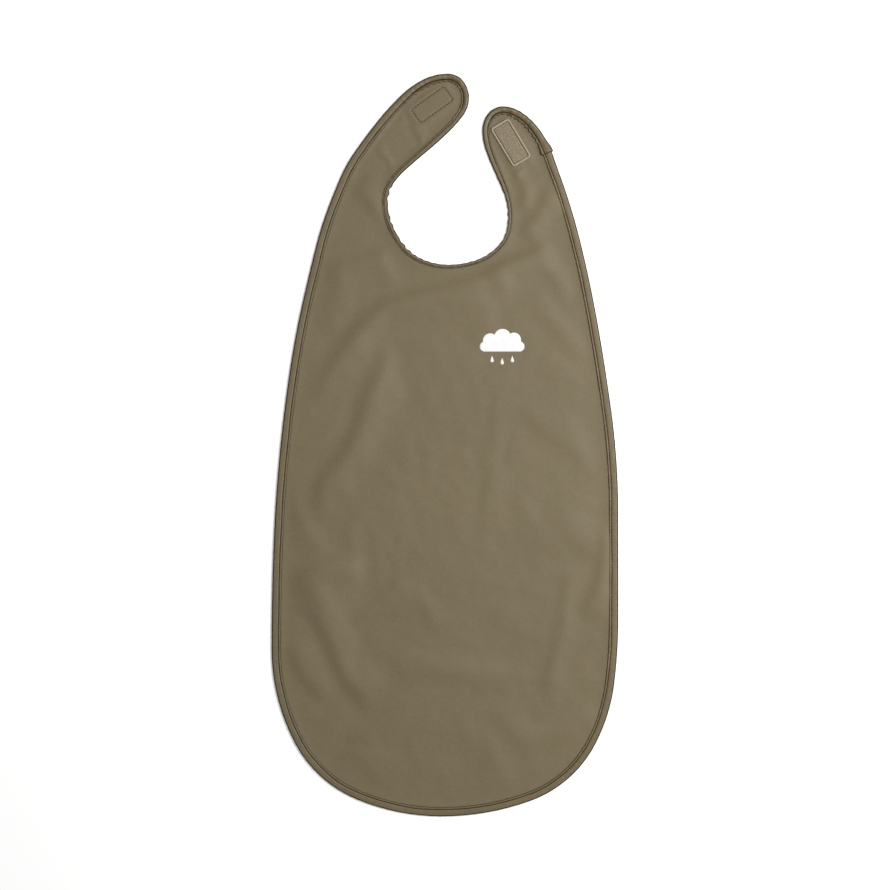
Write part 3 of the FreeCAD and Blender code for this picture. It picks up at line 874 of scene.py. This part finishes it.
def lap_piece():
    """Where the tape's two ends overlap: the upper one is folded under and lies round the lower one."""
    gap = np.linalg.norm(PATH.place - np.array(LAP_POINT), axis=1)
    first = int(gap.argmin())
    step = PATH.length / PATH.count
    stations = (first + np.arange(int(LAP_LENGTH / step))) % PATH.count
    run = np.linspace(0.0, 1.0, len(stations))[:, None]
    turned_under = np.clip(run * LAP_LENGTH / LAP_ROUNDING, 0.0, 1.0)
    end = np.sqrt(turned_under * (2.0 - turned_under))
    rise = (1.0 - 1.1 * smooth_step(run)) * (0.35 + 0.65 * end)
    spread = (1.6 - 1.6 * smooth_step(run)) * (0.7 + 0.3 * end)
    surface = tape_surface(stations, rise, spread)
    count, rows = surface.shape[:2]
    faces = swept_faces(count, rows, False)
    materials = np.tile(MATERIAL_ROWS, count - 1)
    # the lap's first strips and flat ends take the near-black material: painted shadow at its folded-under
    # end
    materials[:rows] = 1
    return mesh_object("tape_lap", surface.reshape(-1, 3), faces, list(materials) + [1, 1])


# ---------------------------------------------------------------- stitches

def tubes(lines, radius, sides=6):
    """Closed tubes along many lines of the same number of points: lines by points by three."""
    lines = np.asarray(lines, float)
    count, steps = lines.shape[:2]
    heading = np.gradient(lines, axis=1)
    heading /= np.maximum(np.linalg.norm(heading, axis=2), 1e-9)[:, :, None]
    aside = np.cross(heading, np.array([0.13, 0.21, 0.97]))
    aside /= np.maximum(np.linalg.norm(aside, axis=2), 1e-9)[:, :, None]
    upward = np.cross(aside, heading)
    turns = np.arange(sides) * 2 * math.pi / sides
    taper = np.ones(steps)
    taper[0] = taper[-1] = 0.55
    ring = (np.cos(turns)[:, None] * aside[:, :, None] + np.sin(turns)[:, None] * upward[:, :, None])
    points = lines[:, :, None] + ring * (radius * taper)[None, :, None, None]
    one = swept_faces(steps, sides, False)
    faces = []
    for number in range(count):
        start = number * steps * sides
        faces += [tuple(start + i for i in face) for face in one]
    return points.reshape(-1, 3), faces


def stitch_lines(places, headings, heights, bow):
    """One short thread for each stitch, with its ends pulled into the cloth."""
    shares = np.array([-0.5, -0.32, 0.0, 0.32, 0.5])
    dips = np.array([-0.32, -0.02, 0.05, -0.02, -0.32]) * bow
    flat = places[:, None] + headings[:, None] * (shares * STITCH_LENGTH)[None, :, None]
    up = heights[:, None] + dips[None]
    return np.concatenate([flat, up[:, :, None]], axis=2)


def seam_stitches():
    """Stitches of the tape, on both faces, by piece."""
    index = np.arange(PATH.stitches) * STATIONS_PER_STITCH + STATIONS_PER_STITCH // 2
    inward = PATH.width[index] * SEAM_SHARE + SEAM_WOBBLE[index]
    places = PATH.place[index] + PATH.normal[index] * inward[:, None]
    headings = PATH.heading[index]
    sink = (TIP_GROOVE * TIPNESS * TIP_LIFT)[index]
    groove = np.maximum(TAPE_TOP - SEAM_GROOVE - sink, GROOVE_FLOOR)
    top = stitch_lines(places, headings, groove + 0.12, 1.0)
    low = stitch_lines(places, headings, np.full(len(index), LOW_GROOVE - 0.16), -1.0)
    labels = piece_of(places)
    made = {}
    for label in sorted(set(labels)):
        own = labels == label
        points, faces = tubes(np.concatenate([top[own], low[own]]), THREAD_RADIUS)
        made[label] = mesh_object("stitches_" + label, points, faces)
    return made


def patch_place(centre, degrees, along, across):
    """From a patch's own frame to the plane."""
    return centre + np.outer(along, unit(degrees)) + np.outer(across, left_of(unit(degrees)))


def rectangle_stitches(centre, degrees):
    """Middles and headings of the stitches round a patch."""
    half_long, half_wide = (size / 2 - PATCH_SEAM_MARGIN for size in PATCH_SIZE)
    corners = np.array([(-half_long, -half_wide), (half_long, -half_wide),
                        (half_long, half_wide), (-half_long, half_wide)])
    places, headings = [], []
    for start, end in zip(corners, np.roll(corners, -1, axis=0)):
        length = np.linalg.norm(end - start)
        count = int(round(length / STITCH_PITCH))
        for number in range(count):
            places.append(start + (end - start) * (number + 0.5) / count)
            headings.append((end - start) / length)
    places, headings = np.array(places), np.array(headings)
    flat = patch_place(centre, degrees, places[:, 0], places[:, 1])
    turned = np.outer(headings[:, 0], unit(degrees)) + np.outer(headings[:, 1], left_of(unit(degrees)))
    return flat, turned


def patch_stitches(name, centre, degrees, top, low):
    flat, headings = rectangle_stitches(centre, degrees)
    upper = stitch_lines(flat, headings, np.full(len(flat), top), 1.0)
    lower = stitch_lines(flat, headings, np.full(len(flat), low), -1.0)
    points, faces = tubes(np.concatenate([upper, lower]), THREAD_RADIUS * 1.2)
    return mesh_object(name, points, faces)


# ---------------------------------------------------------------- the patches

def denser_at_ends(count):
    """Values from -1 to 1, closer together near both ends."""
    even = np.linspace(-1, 1, count)
    return np.sin(even * math.pi / 2) * 0.35 + even * 0.65


def patch_base(low, high, groove_side):
    """A woven patch: raised round its edge, sunk along its seam.  Points, faces and their materials: 0
    under the pile, 1 in the seam's channel, near-black painted shade, 2 on the border."""
    rows, columns = 57, 113
    half_long, half_wide = PATCH_SIZE[0] / 2, PATCH_SIZE[1] / 2
    u, v = denser_at_ends(columns), denser_at_ends(rows)
    grid_u, grid_v = np.meshgrid(u * half_long, v * half_wide)
    along, across = grid_u.ravel(), grid_v.ravel()
    corner = PATCH_CORNER
    out_x = np.abs(along) - half_long + corner
    out_y = np.abs(across) - half_wide + corner
    in_corner = (out_x > 0) & (out_y > 0)
    reach = np.hypot(out_x, out_y)
    most = np.maximum(out_x, out_y)
    shrink = np.where(in_corner, most / np.maximum(reach, 1e-9), 1.0)
    along = np.where(in_corner, np.sign(along) * (half_long - corner + out_x * shrink), along)
    across = np.where(in_corner, np.sign(across) * (half_wide - corner + out_y * shrink), across)
    inside = -rounded_box_distance(along, across, PATCH_SIZE[0], PATCH_SIZE[1], corner)
    from_seam = inside - PATCH_SEAM_MARGIN
    shape = 0.40 * bell(inside - 0.80, 0.6) - 0.45 * bell(from_seam, 0.45)
    shape = shape - 0.35 * np.exp(-np.maximum(inside, 0) / 0.25)
    upper = high + np.where(groove_side > 0, shape, 0.0)
    lower = low - np.where(groove_side < 0, shape, 0.0)
    grid = np.arange(rows * columns).reshape(rows, columns)
    in_seam = np.abs(from_seam) < CHANNEL_HALF_WIDTH
    is_border = inside < PATCH_SEAM_MARGIN - CHANNEL_HALF_WIDTH
    faces, materials = [], []
    count = rows * columns
    for row in range(rows - 1):
        for column in range(columns - 1):
            first, above = grid[row, column], grid[row + 1, column]
            quad = [first, first + 1, above + 1, above]
            faces.append(tuple(quad))
            faces.append(tuple(i + count for i in quad[::-1]))
            # faces in the seam's channel take the near-black material: painted shade
            kind = 1 if in_seam[quad].mean() > 0.5 else 2 if is_border[quad].mean() > 0.5 else 0
            materials += [kind] * 2
    rim = list(grid[0, :]) + list(grid[1:, -1]) + list(grid[-1, -2::-1]) + list(grid[-2:0:-1, 0])
    for here, there in zip(rim, rim[1:] + rim[:1]):
        faces.append((there, here, here + count, there + count))
        materials.append(2)
    heights = np.concatenate([upper, lower])
    return np.concatenate([along, along]), np.concatenate([across, across]), heights, faces, materials


def fuzz_lines(kind, base, reach):
    """Loops, or hooks in rows, inside the seam of a patch: lines in the patch's own frame."""
    dice = random.Random(31)
    half_long, half_wide = (size / 2 - PATCH_SEAM_MARGIN - PILE_MARGIN for size in PATCH_SIZE)
    pitch = 0.55 if kind == "loop" else 1.15
    lines = []
    for along in np.arange(-half_long, half_long + 0.01, pitch):
        for across in np.arange(-half_wide, half_wide + 0.01, pitch):
            scatter = 0.35 if kind == "loop" else 0.05
            x = along + dice.uniform(-scatter, scatter)
            y = across + dice.uniform(-scatter, scatter)
            turn = dice.uniform(0, 2 * math.pi) if kind == "loop" else 0.0
            top = reach * (dice.uniform(0.7, 1.0) if kind == "loop" else 1.0)
            span = 0.5 if kind == "loop" else 0.4
            ends = 180 if kind == "loop" else 235
            line = []
            for degrees in np.linspace(0, ends, 6):
                arc = math.radians(degrees)
                out = span * (1 - math.cos(arc)) - span
                place = (x + out * math.cos(turn), y + out * math.sin(turn))
                line.append((*place, base + top * math.sin(arc)))
            lines.append(line)
    return np.array(lines)


def patch_piece(name, kind, centre, degrees, low, high, reach, side):
    """A patch with its pile.  side is 1 where the pile faces up and -1 where it faces down."""
    along, across, heights, faces, materials = patch_base(low, high, side)
    base = high - 0.05 if side > 0 else low + 0.05
    lines = fuzz_lines(kind, base, reach * side)
    pile, pile_faces = tubes(lines, 0.07 if kind == "loop" else 0.08, 3)
    faces = faces + [tuple(i + len(heights) for i in face) for face in pile_faces]
    materials = materials + [0] * len(pile_faces)
    along = np.concatenate([along, pile[:, 0]])
    across = np.concatenate([across, pile[:, 1]])
    heights = np.concatenate([heights, pile[:, 2]])
    flat = patch_place(centre, degrees, along, across)
    points = np.concatenate([flat, np.maximum(heights, 0.0)[:, None]], axis=1)
    return mesh_object(name, points, faces, materials)


# ---------------------------------------------------------------- the print

CLOUD_CORNERS = [(-0.36, -0.12), (-0.42, 0.14), (-0.17, 0.33), (0.17, 0.36), (0.40, 0.15), (0.36, -0.12)]
CLOUD_BULGES = [0.46, 0.34, 0.34, 0.34, 0.46]
DROPS = [(-0.22, -0.36), (0.0, -0.42), (0.22, -0.36)]
PRINT_LIFT = 0.07          # of the film's top over the cloth
PRINT_THICKNESS = 0.12


def cloud_outline():
    """A plain cloud: a flat base and five round bumps."""
    corners = PRINT_CENTRE + np.array(CLOUD_CORNERS) * PRINT_SIZE
    outline = []
    for start, end, bulge in zip(corners, corners[1:], CLOUD_BULGES):
        chord = end - start
        half = np.linalg.norm(chord) / 2
        out = left_of(chord) / (2 * half)
        rise = bulge * 2 * half
        radius = (half * half + rise * rise) / (2 * rise)
        centre = (start + end) / 2 + out * (rise - radius)
        first = start - centre
        sweep = -2 * math.acos(max(-1.0, min(1.0, (radius - rise) / radius)))
        for turn in np.linspace(0.0, sweep, 14, endpoint=False):
            cos, sin = math.cos(turn), math.sin(turn)
            turned = np.array([first[0] * cos - first[1] * sin, first[0] * sin + first[1] * cos])
            outline.append(centre + turned)
    outline.append(corners[-1])
    return np.array(outline)[::-1]


def drop_outline(x_share, y_share):
    radius = PRINT_SIZE[1] * 0.045
    centre = PRINT_CENTRE + np.array([x_share * PRINT_SIZE[0], y_share * PRINT_SIZE[1]])
    turns = np.linspace(math.pi, 2 * math.pi, 10)
    outline = [centre + radius * np.array([math.cos(turn), math.sin(turn)]) for turn in turns]
    outline.append(centre + np.array([0.0, 3.0 * radius]))
    return np.array(outline)


def print_piece(cloth):
    """The white transfer, laid onto the cloth."""
    places = [vertex.co for vertex in cloth.data.vertices]
    tree = BVHTree.FromPolygons(places, [polygon.vertices for polygon in cloth.data.polygons])
    points, faces = [], []
    for outline in [cloud_outline()] + [drop_outline(*drop) for drop in DROPS]:
        grid = lattice(1.4, outline.min(axis=0), outline.max(axis=0))
        grid = grid[inside_outline(grid, outline)]
        grid = grid[edge_distance(grid, outline)[0] > 0.6] if len(grid) else grid
        flat, own_faces = triangulated(outline, grid)
        start = len(points)
        for x, y in flat.tolist():
            hit = tree.ray_cast(Vector((x * MM, y * MM, 0.05)), Vector((0, 0, -1)))
            points.append((x, y, hit[0].z / MM + PRINT_LIFT))
        faces += [tuple(start + i for i in face) for face in own_faces]
    points = np.array(points)
    triangles = np.array(faces)
    facing = edge_cross(points, triangles)[:, 2]
    triangles[facing < 0] = triangles[facing < 0][:, ::-1]
    under = points - np.array([0.0, 0.0, PRINT_THICKNESS])
    return mesh_object("print_cloud", np.concatenate([points, under]), two_layers(triangles, len(points)))


# ---------------------------------------------------------------- materials

class Nodes:
    """A node material under construction."""

    def __init__(self, name):
        self.material = bpy.data.materials.new(name)
        self.material.use_nodes = True
        self.tree = self.material.node_tree
        self.shader = self.tree.nodes["Principled BSDF"]
        self.place = self.add("ShaderNodeTexCoord").outputs["Object"]

    def add(self, kind, inputs=(), **settings):
        node = self.tree.nodes.new(kind)
        for key, value in settings.items():
            setattr(node, key, value)
        for key, value in dict(inputs).items():
            self.feed(node.inputs[key], value)
        return node

    def feed(self, socket, value):
        """Links another node's output to an input, or gives the input a plain value."""
        if isinstance(value, bpy.types.NodeSocket):
            self.tree.links.new(value, socket)
        else:
            socket.default_value = value

    def noise(self, scale, detail=3.0, roughness=0.55):
        inputs = {"Vector": self.place, "Scale": scale, "Detail": detail, "Roughness": roughness}
        return self.add("ShaderNodeTexNoise", inputs).outputs["Fac"]

    def turned(self, degrees):
        inputs = {"Vector": self.place, "Rotation": (0.0, 0.0, math.radians(degrees))}
        return self.add("ShaderNodeMapping", inputs).outputs["Vector"]

    def wave(self, degrees, scale, distortion):
        """Straight bands across a direction in the plane."""
        inputs = {"Vector": self.turned(degrees), "Scale": scale, "Distortion": distortion, "Detail": 1.0}
        return self.add("ShaderNodeTexWave", inputs, bands_direction="X").outputs["Fac"]

    def math(self, operation, first, second):
        node = self.add("ShaderNodeMath", operation=operation)
        for socket, value in zip(node.inputs, (first, second)):
            self.feed(socket, value)
        return node.outputs[0]

    def ramp(self, value, low, high, low_at=0.3, high_at=0.7):
        node = self.add("ShaderNodeValToRGB", {"Fac": value})
        ends = node.color_ramp.elements
        ends[0].position, ends[1].position = low_at, high_at
        ends[0].color, ends[1].color = (*low, 1.0), (*high, 1.0)
        return node.outputs["Color"]

    def spread(self, value, low, high):
        inputs = {"Value": value, "To Min": low, "To Max": high}
        return self.add("ShaderNodeMapRange", inputs).outputs["Result"]

    def mix(self, share, first, second, blend_type="MIX"):
        node = self.add("ShaderNodeMix", data_type="RGBA", blend_type=blend_type)
        for number, value in ((0, share), (6, first), (7, second)):
            self.feed(node.inputs[number], value)
        return node.outputs[2]

    def bump(self, height, distance, strength=1.0, below=None):
        inputs = {"Height": height, "Distance": distance, "Strength": strength}
        if below is not None:
            inputs["Normal"] = below
        return self.add("ShaderNodeBump", inputs).outputs["Normal"]

    def finish(self, color, roughness, normal, **plain):
        self.tree.links.new(color, self.shader.inputs["Base Color"])
        self.tree.links.new(roughness, self.shader.inputs["Roughness"])
        self.tree.links.new(normal, self.shader.inputs["Normal"])
        for key, value in plain.items():
            self.shader.inputs[key.replace("_", " ")].default_value = value
        return self.material


def shade(color, factor):
    return tuple(channel * factor for channel in color)


CLOTH_COLOR = (0.123, 0.0955, 0.0500)
TAPE_COLOR = (0.114, 0.0860, 0.0400)
# near-black colour that paints shade into the tape's creases and the patches' seams
CREASE_SHADE_COLOR = (0.028, 0.018, 0.005)
THREAD_COLOR = (0.030, 0.020, 0.006)
LOOP_COLOR = (0.226, 0.184, 0.120)
HOOK_COLOR = (0.135, 0.106, 0.062)
PRINT_COLOR = (0.64, 0.64, 0.645)


def coated_fabric():
    """Satin polyurethane skin over a fine knit, whose cells print through faintly."""
    m = Nodes("coated_fabric")
    broad = m.noise(9.0, 4.0)
    fine = m.noise(420.0, 4.0, 0.6)
    grain = m.noise(2600.0, 2.0, 0.6)
    across = m.wave(0.0, 560.0, 0.6)
    down = m.wave(90.0, 470.0, 0.6)
    knit = m.math("MULTIPLY", across, down)
    tint = m.ramp(broad, shade(CLOTH_COLOR, 0.955), shade(CLOTH_COLOR, 1.035))
    speck = m.ramp(fine, (0.93, 0.93, 0.93), (1.05, 1.05, 1.04))
    color = m.mix(1.0, tint, speck, "MULTIPLY")
    roughness = m.spread(m.noise(60.0, 5.0), 0.46, 0.60)
    normal = m.bump(knit, 0.00006, 0.5)
    normal = m.bump(grain, 0.00004, 0.35, normal)
    normal = m.bump(m.noise(70.0, 3.0), 0.00035, 0.5, normal)
    return m.finish(color, roughness, normal, Specular_IOR_Level=0.38)


def knitted_back():
    """Rows of tiny V-shaped stitches."""
    m = Nodes("knitted_back")
    columns = m.wave(0.0, 330.0, 0.3)
    slant = m.wave(55.0, 420.0, 0.4)
    counter = m.wave(-55.0, 420.0, 0.4)
    rows = m.mix(columns, slant, counter)
    tint = m.ramp(rows, shade(CLOTH_COLOR, 0.78), shade(CLOTH_COLOR, 1.16))
    speck = m.ramp(m.noise(900.0, 3.0), (0.88, 0.88, 0.88), (1.08, 1.08, 1.07))
    color = m.mix(1.0, tint, speck, "MULTIPLY")
    roughness = m.spread(m.noise(300.0, 3.0), 0.74, 0.90)
    normal = m.bump(rows, 0.00022, 0.8)
    return m.finish(color, roughness, normal, Sheen_Weight=0.25, Sheen_Roughness=0.55)


def folded_tape(name, shade_factor):
    """Coated tape, a little darker and glossier than the cloth, with fine cross ribs.  A factor below 1
    gives a darker, less shiny copy for the outer fold: painted shade."""
    m = Nodes(name)
    broad = m.noise(14.0, 4.0)
    streak = m.noise(240.0, 4.0, 0.65)
    tint = m.ramp(broad, shade(TAPE_COLOR, 0.92 * shade_factor), shade(TAPE_COLOR, 1.05 * shade_factor))
    speck = m.ramp(streak, (0.88, 0.88, 0.87), (1.07, 1.07, 1.06))
    color = m.mix(1.0, tint, speck, "MULTIPLY")
    roughness = m.spread(m.noise(110.0, 4.0), 0.40, 0.56)
    ribs = m.wave(33.0, 620.0, 1.2)
    normal = m.bump(ribs, 0.00005, 0.45)
    normal = m.bump(m.noise(260.0, 4.0, 0.6), 0.00030, 0.55, normal)
    return m.finish(color, roughness, normal, Specular_IOR_Level=0.45 * shade_factor)


def tape_crease_shade():
    """Near-black painted shade in the tape's inner edge and the channel that its stitches pull down, also
    used in the patches' seams and at the lap's end: dull and dark.
    """
    m = Nodes("tape_crease_shade")
    color = m.ramp(m.noise(300.0, 4.0, 0.65), shade(CREASE_SHADE_COLOR, 0.75), shade(CREASE_SHADE_COLOR, 1.35))
    roughness = m.spread(m.noise(200.0), 0.7, 0.9)
    return m.finish(color, roughness, m.bump(m.noise(900.0), 0.00006, 0.5), Specular_IOR_Level=0.12)


def twisted_thread():
    """Matt twisted polyester thread."""
    m = Nodes("twisted_thread")
    twist = m.wave(45.0, 1400.0, 0.5)
    color = m.ramp(twist, shade(THREAD_COLOR, 0.75), shade(THREAD_COLOR, 1.35))
    roughness = m.spread(m.noise(800.0), 0.6, 0.8)
    normal = m.bump(twist, 0.00006, 0.8)
    return m.finish(color, roughness, normal, Specular_IOR_Level=0.2)


def pile_tape(name, base, rough_low, rough_high):
    """Woven nylon tape under its hooks or loops."""
    m = Nodes(name)
    weave = m.wave(LOOP_ANGLE, 900.0, 1.0)
    tint = m.ramp(m.noise(380.0, 4.0, 0.7), shade(base, 0.86), shade(base, 1.12))
    speck = m.ramp(m.noise(1500.0, 3.0), (0.90, 0.90, 0.90), (1.08, 1.08, 1.07))
    color = m.mix(1.0, tint, speck, "MULTIPLY")
    roughness = m.spread(m.noise(500.0), rough_low, rough_high)
    normal = m.bump(weave, 0.00008, 0.5)
    return m.finish(color, roughness, normal, Sheen_Weight=0.2, Sheen_Roughness=0.5)


def transfer_print():
    """Soft white ink film with the cloth's grain in it and faint hairline cracks."""
    m = Nodes("transfer_print")
    tint = m.ramp(m.noise(160.0, 5.0, 0.6), shade(PRINT_COLOR, 0.96), shade(PRINT_COLOR, 1.04))
    roughness = m.spread(m.noise(220.0, 4.0), 0.42, 0.58)
    cells = m.add("ShaderNodeTexVoronoi", {"Vector": m.place, "Scale": 700.0}, feature="DISTANCE_TO_EDGE")
    normal = m.bump(m.ramp(cells.outputs["Distance"], (0, 0, 0), (1, 1, 1), 0.0, 0.05), 0.00003, 0.3)
    return m.finish(tint, roughness, normal, Specular_IOR_Level=0.45)


def paper_floor():
    m = Nodes("paper_floor")
    tint = m.ramp(m.noise(3.0, 3.0), (0.945, 0.945, 0.945), (0.96, 0.96, 0.96))
    roughness = m.spread(m.noise(40.0), 0.82, 0.92)
    normal = m.bump(m.noise(900.0), 0.00002, 0.2)
    return m.finish(tint, roughness, normal, Specular_IOR_Level=0.2)


# ---------------------------------------------------------------- light, floor and camera

VIEW_WIDTH = 0.8322        # what the picture shows across, in metres
LENS = 100.0
SENSOR = 36.0
KEY_PLACE = (0.84, 0.24, 0.98)
KEY_SIZE = 0.8
KEY_WATTS = 20.0
ROOM_STRENGTH = 0.66


def make_camera():
    data = bpy.data.cameras.new("camera")
    data.lens = LENS
    data.sensor_width = SENSOR
    camera = bpy.data.objects.new("camera", data)
    camera.location = (0.0, -0.0005, VIEW_WIDTH * LENS / SENSOR)
    bpy.context.scene.collection.objects.link(camera)
    bpy.context.scene.camera = camera


def make_floor():
    floor = square("floor", 4.0)
    floor.data.materials.append(paper_floor())


def make_light():
    """One soft box close by on the upper right, and a pale room."""
    data = bpy.data.lights.new("key", "AREA")
    data.shape = "SQUARE"
    data.size = KEY_SIZE
    data.energy = KEY_WATTS
    data.color = (1.0, 0.995, 0.985)
    light = bpy.data.objects.new("key", data)
    light.location = KEY_PLACE
    light.rotation_euler = (-Vector(KEY_PLACE)).to_track_quat("-Z", "Y").to_euler()
    bpy.context.scene.collection.objects.link(light)
    world = bpy.data.worlds.new("studio")
    world.use_nodes = True
    background = world.node_tree.nodes["Background"]
    background.inputs["Color"].default_value = (1.0, 1.0, 1.0, 1.0)
    background.inputs["Strength"].default_value = ROOM_STRENGTH
    bpy.context.scene.world = world
    bpy.context.scene.view_settings.view_transform = "Standard"


# ---------------------------------------------------------------- putting it together

def follow(thing, label):
    """Finds the fold that a piece crosses and on which side its child body lies, then only bakes the
    piece's transform; the piece is not bent.
    """
    parent, child, joint, before, after = PIECES[label]
    point, axis = fold_line(joint)
    lift = node_middle("panel_" + child)[:2] - point
    towards = left_of(axis)
    towards = towards * np.sign(lift @ towards)
    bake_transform(thing)


def dress(thing, materials):
    for material in materials:
        thing.data.materials.append(material)


def make_cloth(front, back):
    flat, triangles, points = lay_cloth()
    made = part("cloth", *cloth_shell(triangles, points), piece_of)
    corners = flat[triangles]
    labels = piece_of(corners.mean(axis=1))
    for label, thing in made.items():
        dress(thing, [front, back])
        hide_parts(*PANEL_NODES[label])
        follow(thing, label)
    return made


def make_tape(tape, crease_shade, fold):
    for label, thing in part("tape", *tape_shell(), tape_label).items():
        dress(thing, [tape, crease_shade, fold])
        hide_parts(*TAPE_NODES[label])
        follow(thing, label.replace("_side", "").replace("_neck", ""))
    lap = lap_piece()
    dress(lap, [tape, crease_shade, fold])
    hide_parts("binding_lap")
    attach(lap, "right_strap")


def make_seams(material):
    for label, thing in seam_stitches().items():
        dress(thing, [material])
        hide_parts(*SEAM_NODES[label])
        follow(thing, label)


def make_patches(thread, crease_shade):
    hook = patch_piece("patch_hooks", "hook", HOOK_CENTRE, HOOK_ANGLE, HOOK_LOW, HOOK_TOP, HOOK_REACH, -1)
    hook_border = pile_tape("hook_border", shade(HOOK_COLOR, 1.15), 0.4, 0.55)
    dress(hook, [pile_tape("hook_tape", HOOK_COLOR, 0.35, 0.5), crease_shade, hook_border])
    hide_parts("hook_patch")
    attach(hook, "left_strap")
    loop = patch_piece("patch_loops", "loop", LOOP_CENTRE, LOOP_ANGLE, PANEL_HIGH, LOOP_TOP, LOOP_REACH, 1)
    loop_border = pile_tape("loop_border", shade(LOOP_COLOR, 1.22), 0.55, 0.7)
    dress(loop, [pile_tape("loop_tape", LOOP_COLOR, 0.75, 0.9), crease_shade, loop_border])
    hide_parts("loop_patch")
    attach(loop, "right_strap")
    for name, centre, degrees, top, low, node, body in (
            ("stitches_hooks", HOOK_CENTRE, HOOK_ANGLE, PANEL_HIGH - 0.14, HOOK_LOW - 0.05,
             "hook_patch_thread", "left_strap"),
            ("stitches_loops", LOOP_CENTRE, LOOP_ANGLE, LOOP_TOP - 0.3, PANEL_LOW - 0.1,
             "loop_patch_thread", "right_strap")):
        thing = patch_stitches(name, centre, degrees, top, low)
        dress(thing, [thread])
        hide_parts(node)
        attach(thing, body)


def make_print(cloth):
    thing = print_piece(cloth)
    dress(thing, [transfer_print()])
    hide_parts("front_print")
    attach(thing, "chest")


make_camera()
make_floor()
make_light()
THREAD = twisted_thread()
CLOTH = make_cloth(coated_fabric(), knitted_back())
CREASE_SHADE = tape_crease_shade()
# the third tape material is a darker copy of the tape for the outer fold: painted shade
make_tape(folded_tape("folded_tape", 1.0), CREASE_SHADE, folded_tape("tape_fold_shade", 0.20))
make_seams(THREAD)
make_patches(THREAD, CREASE_SHADE)
make_print(CLOTH["body"])
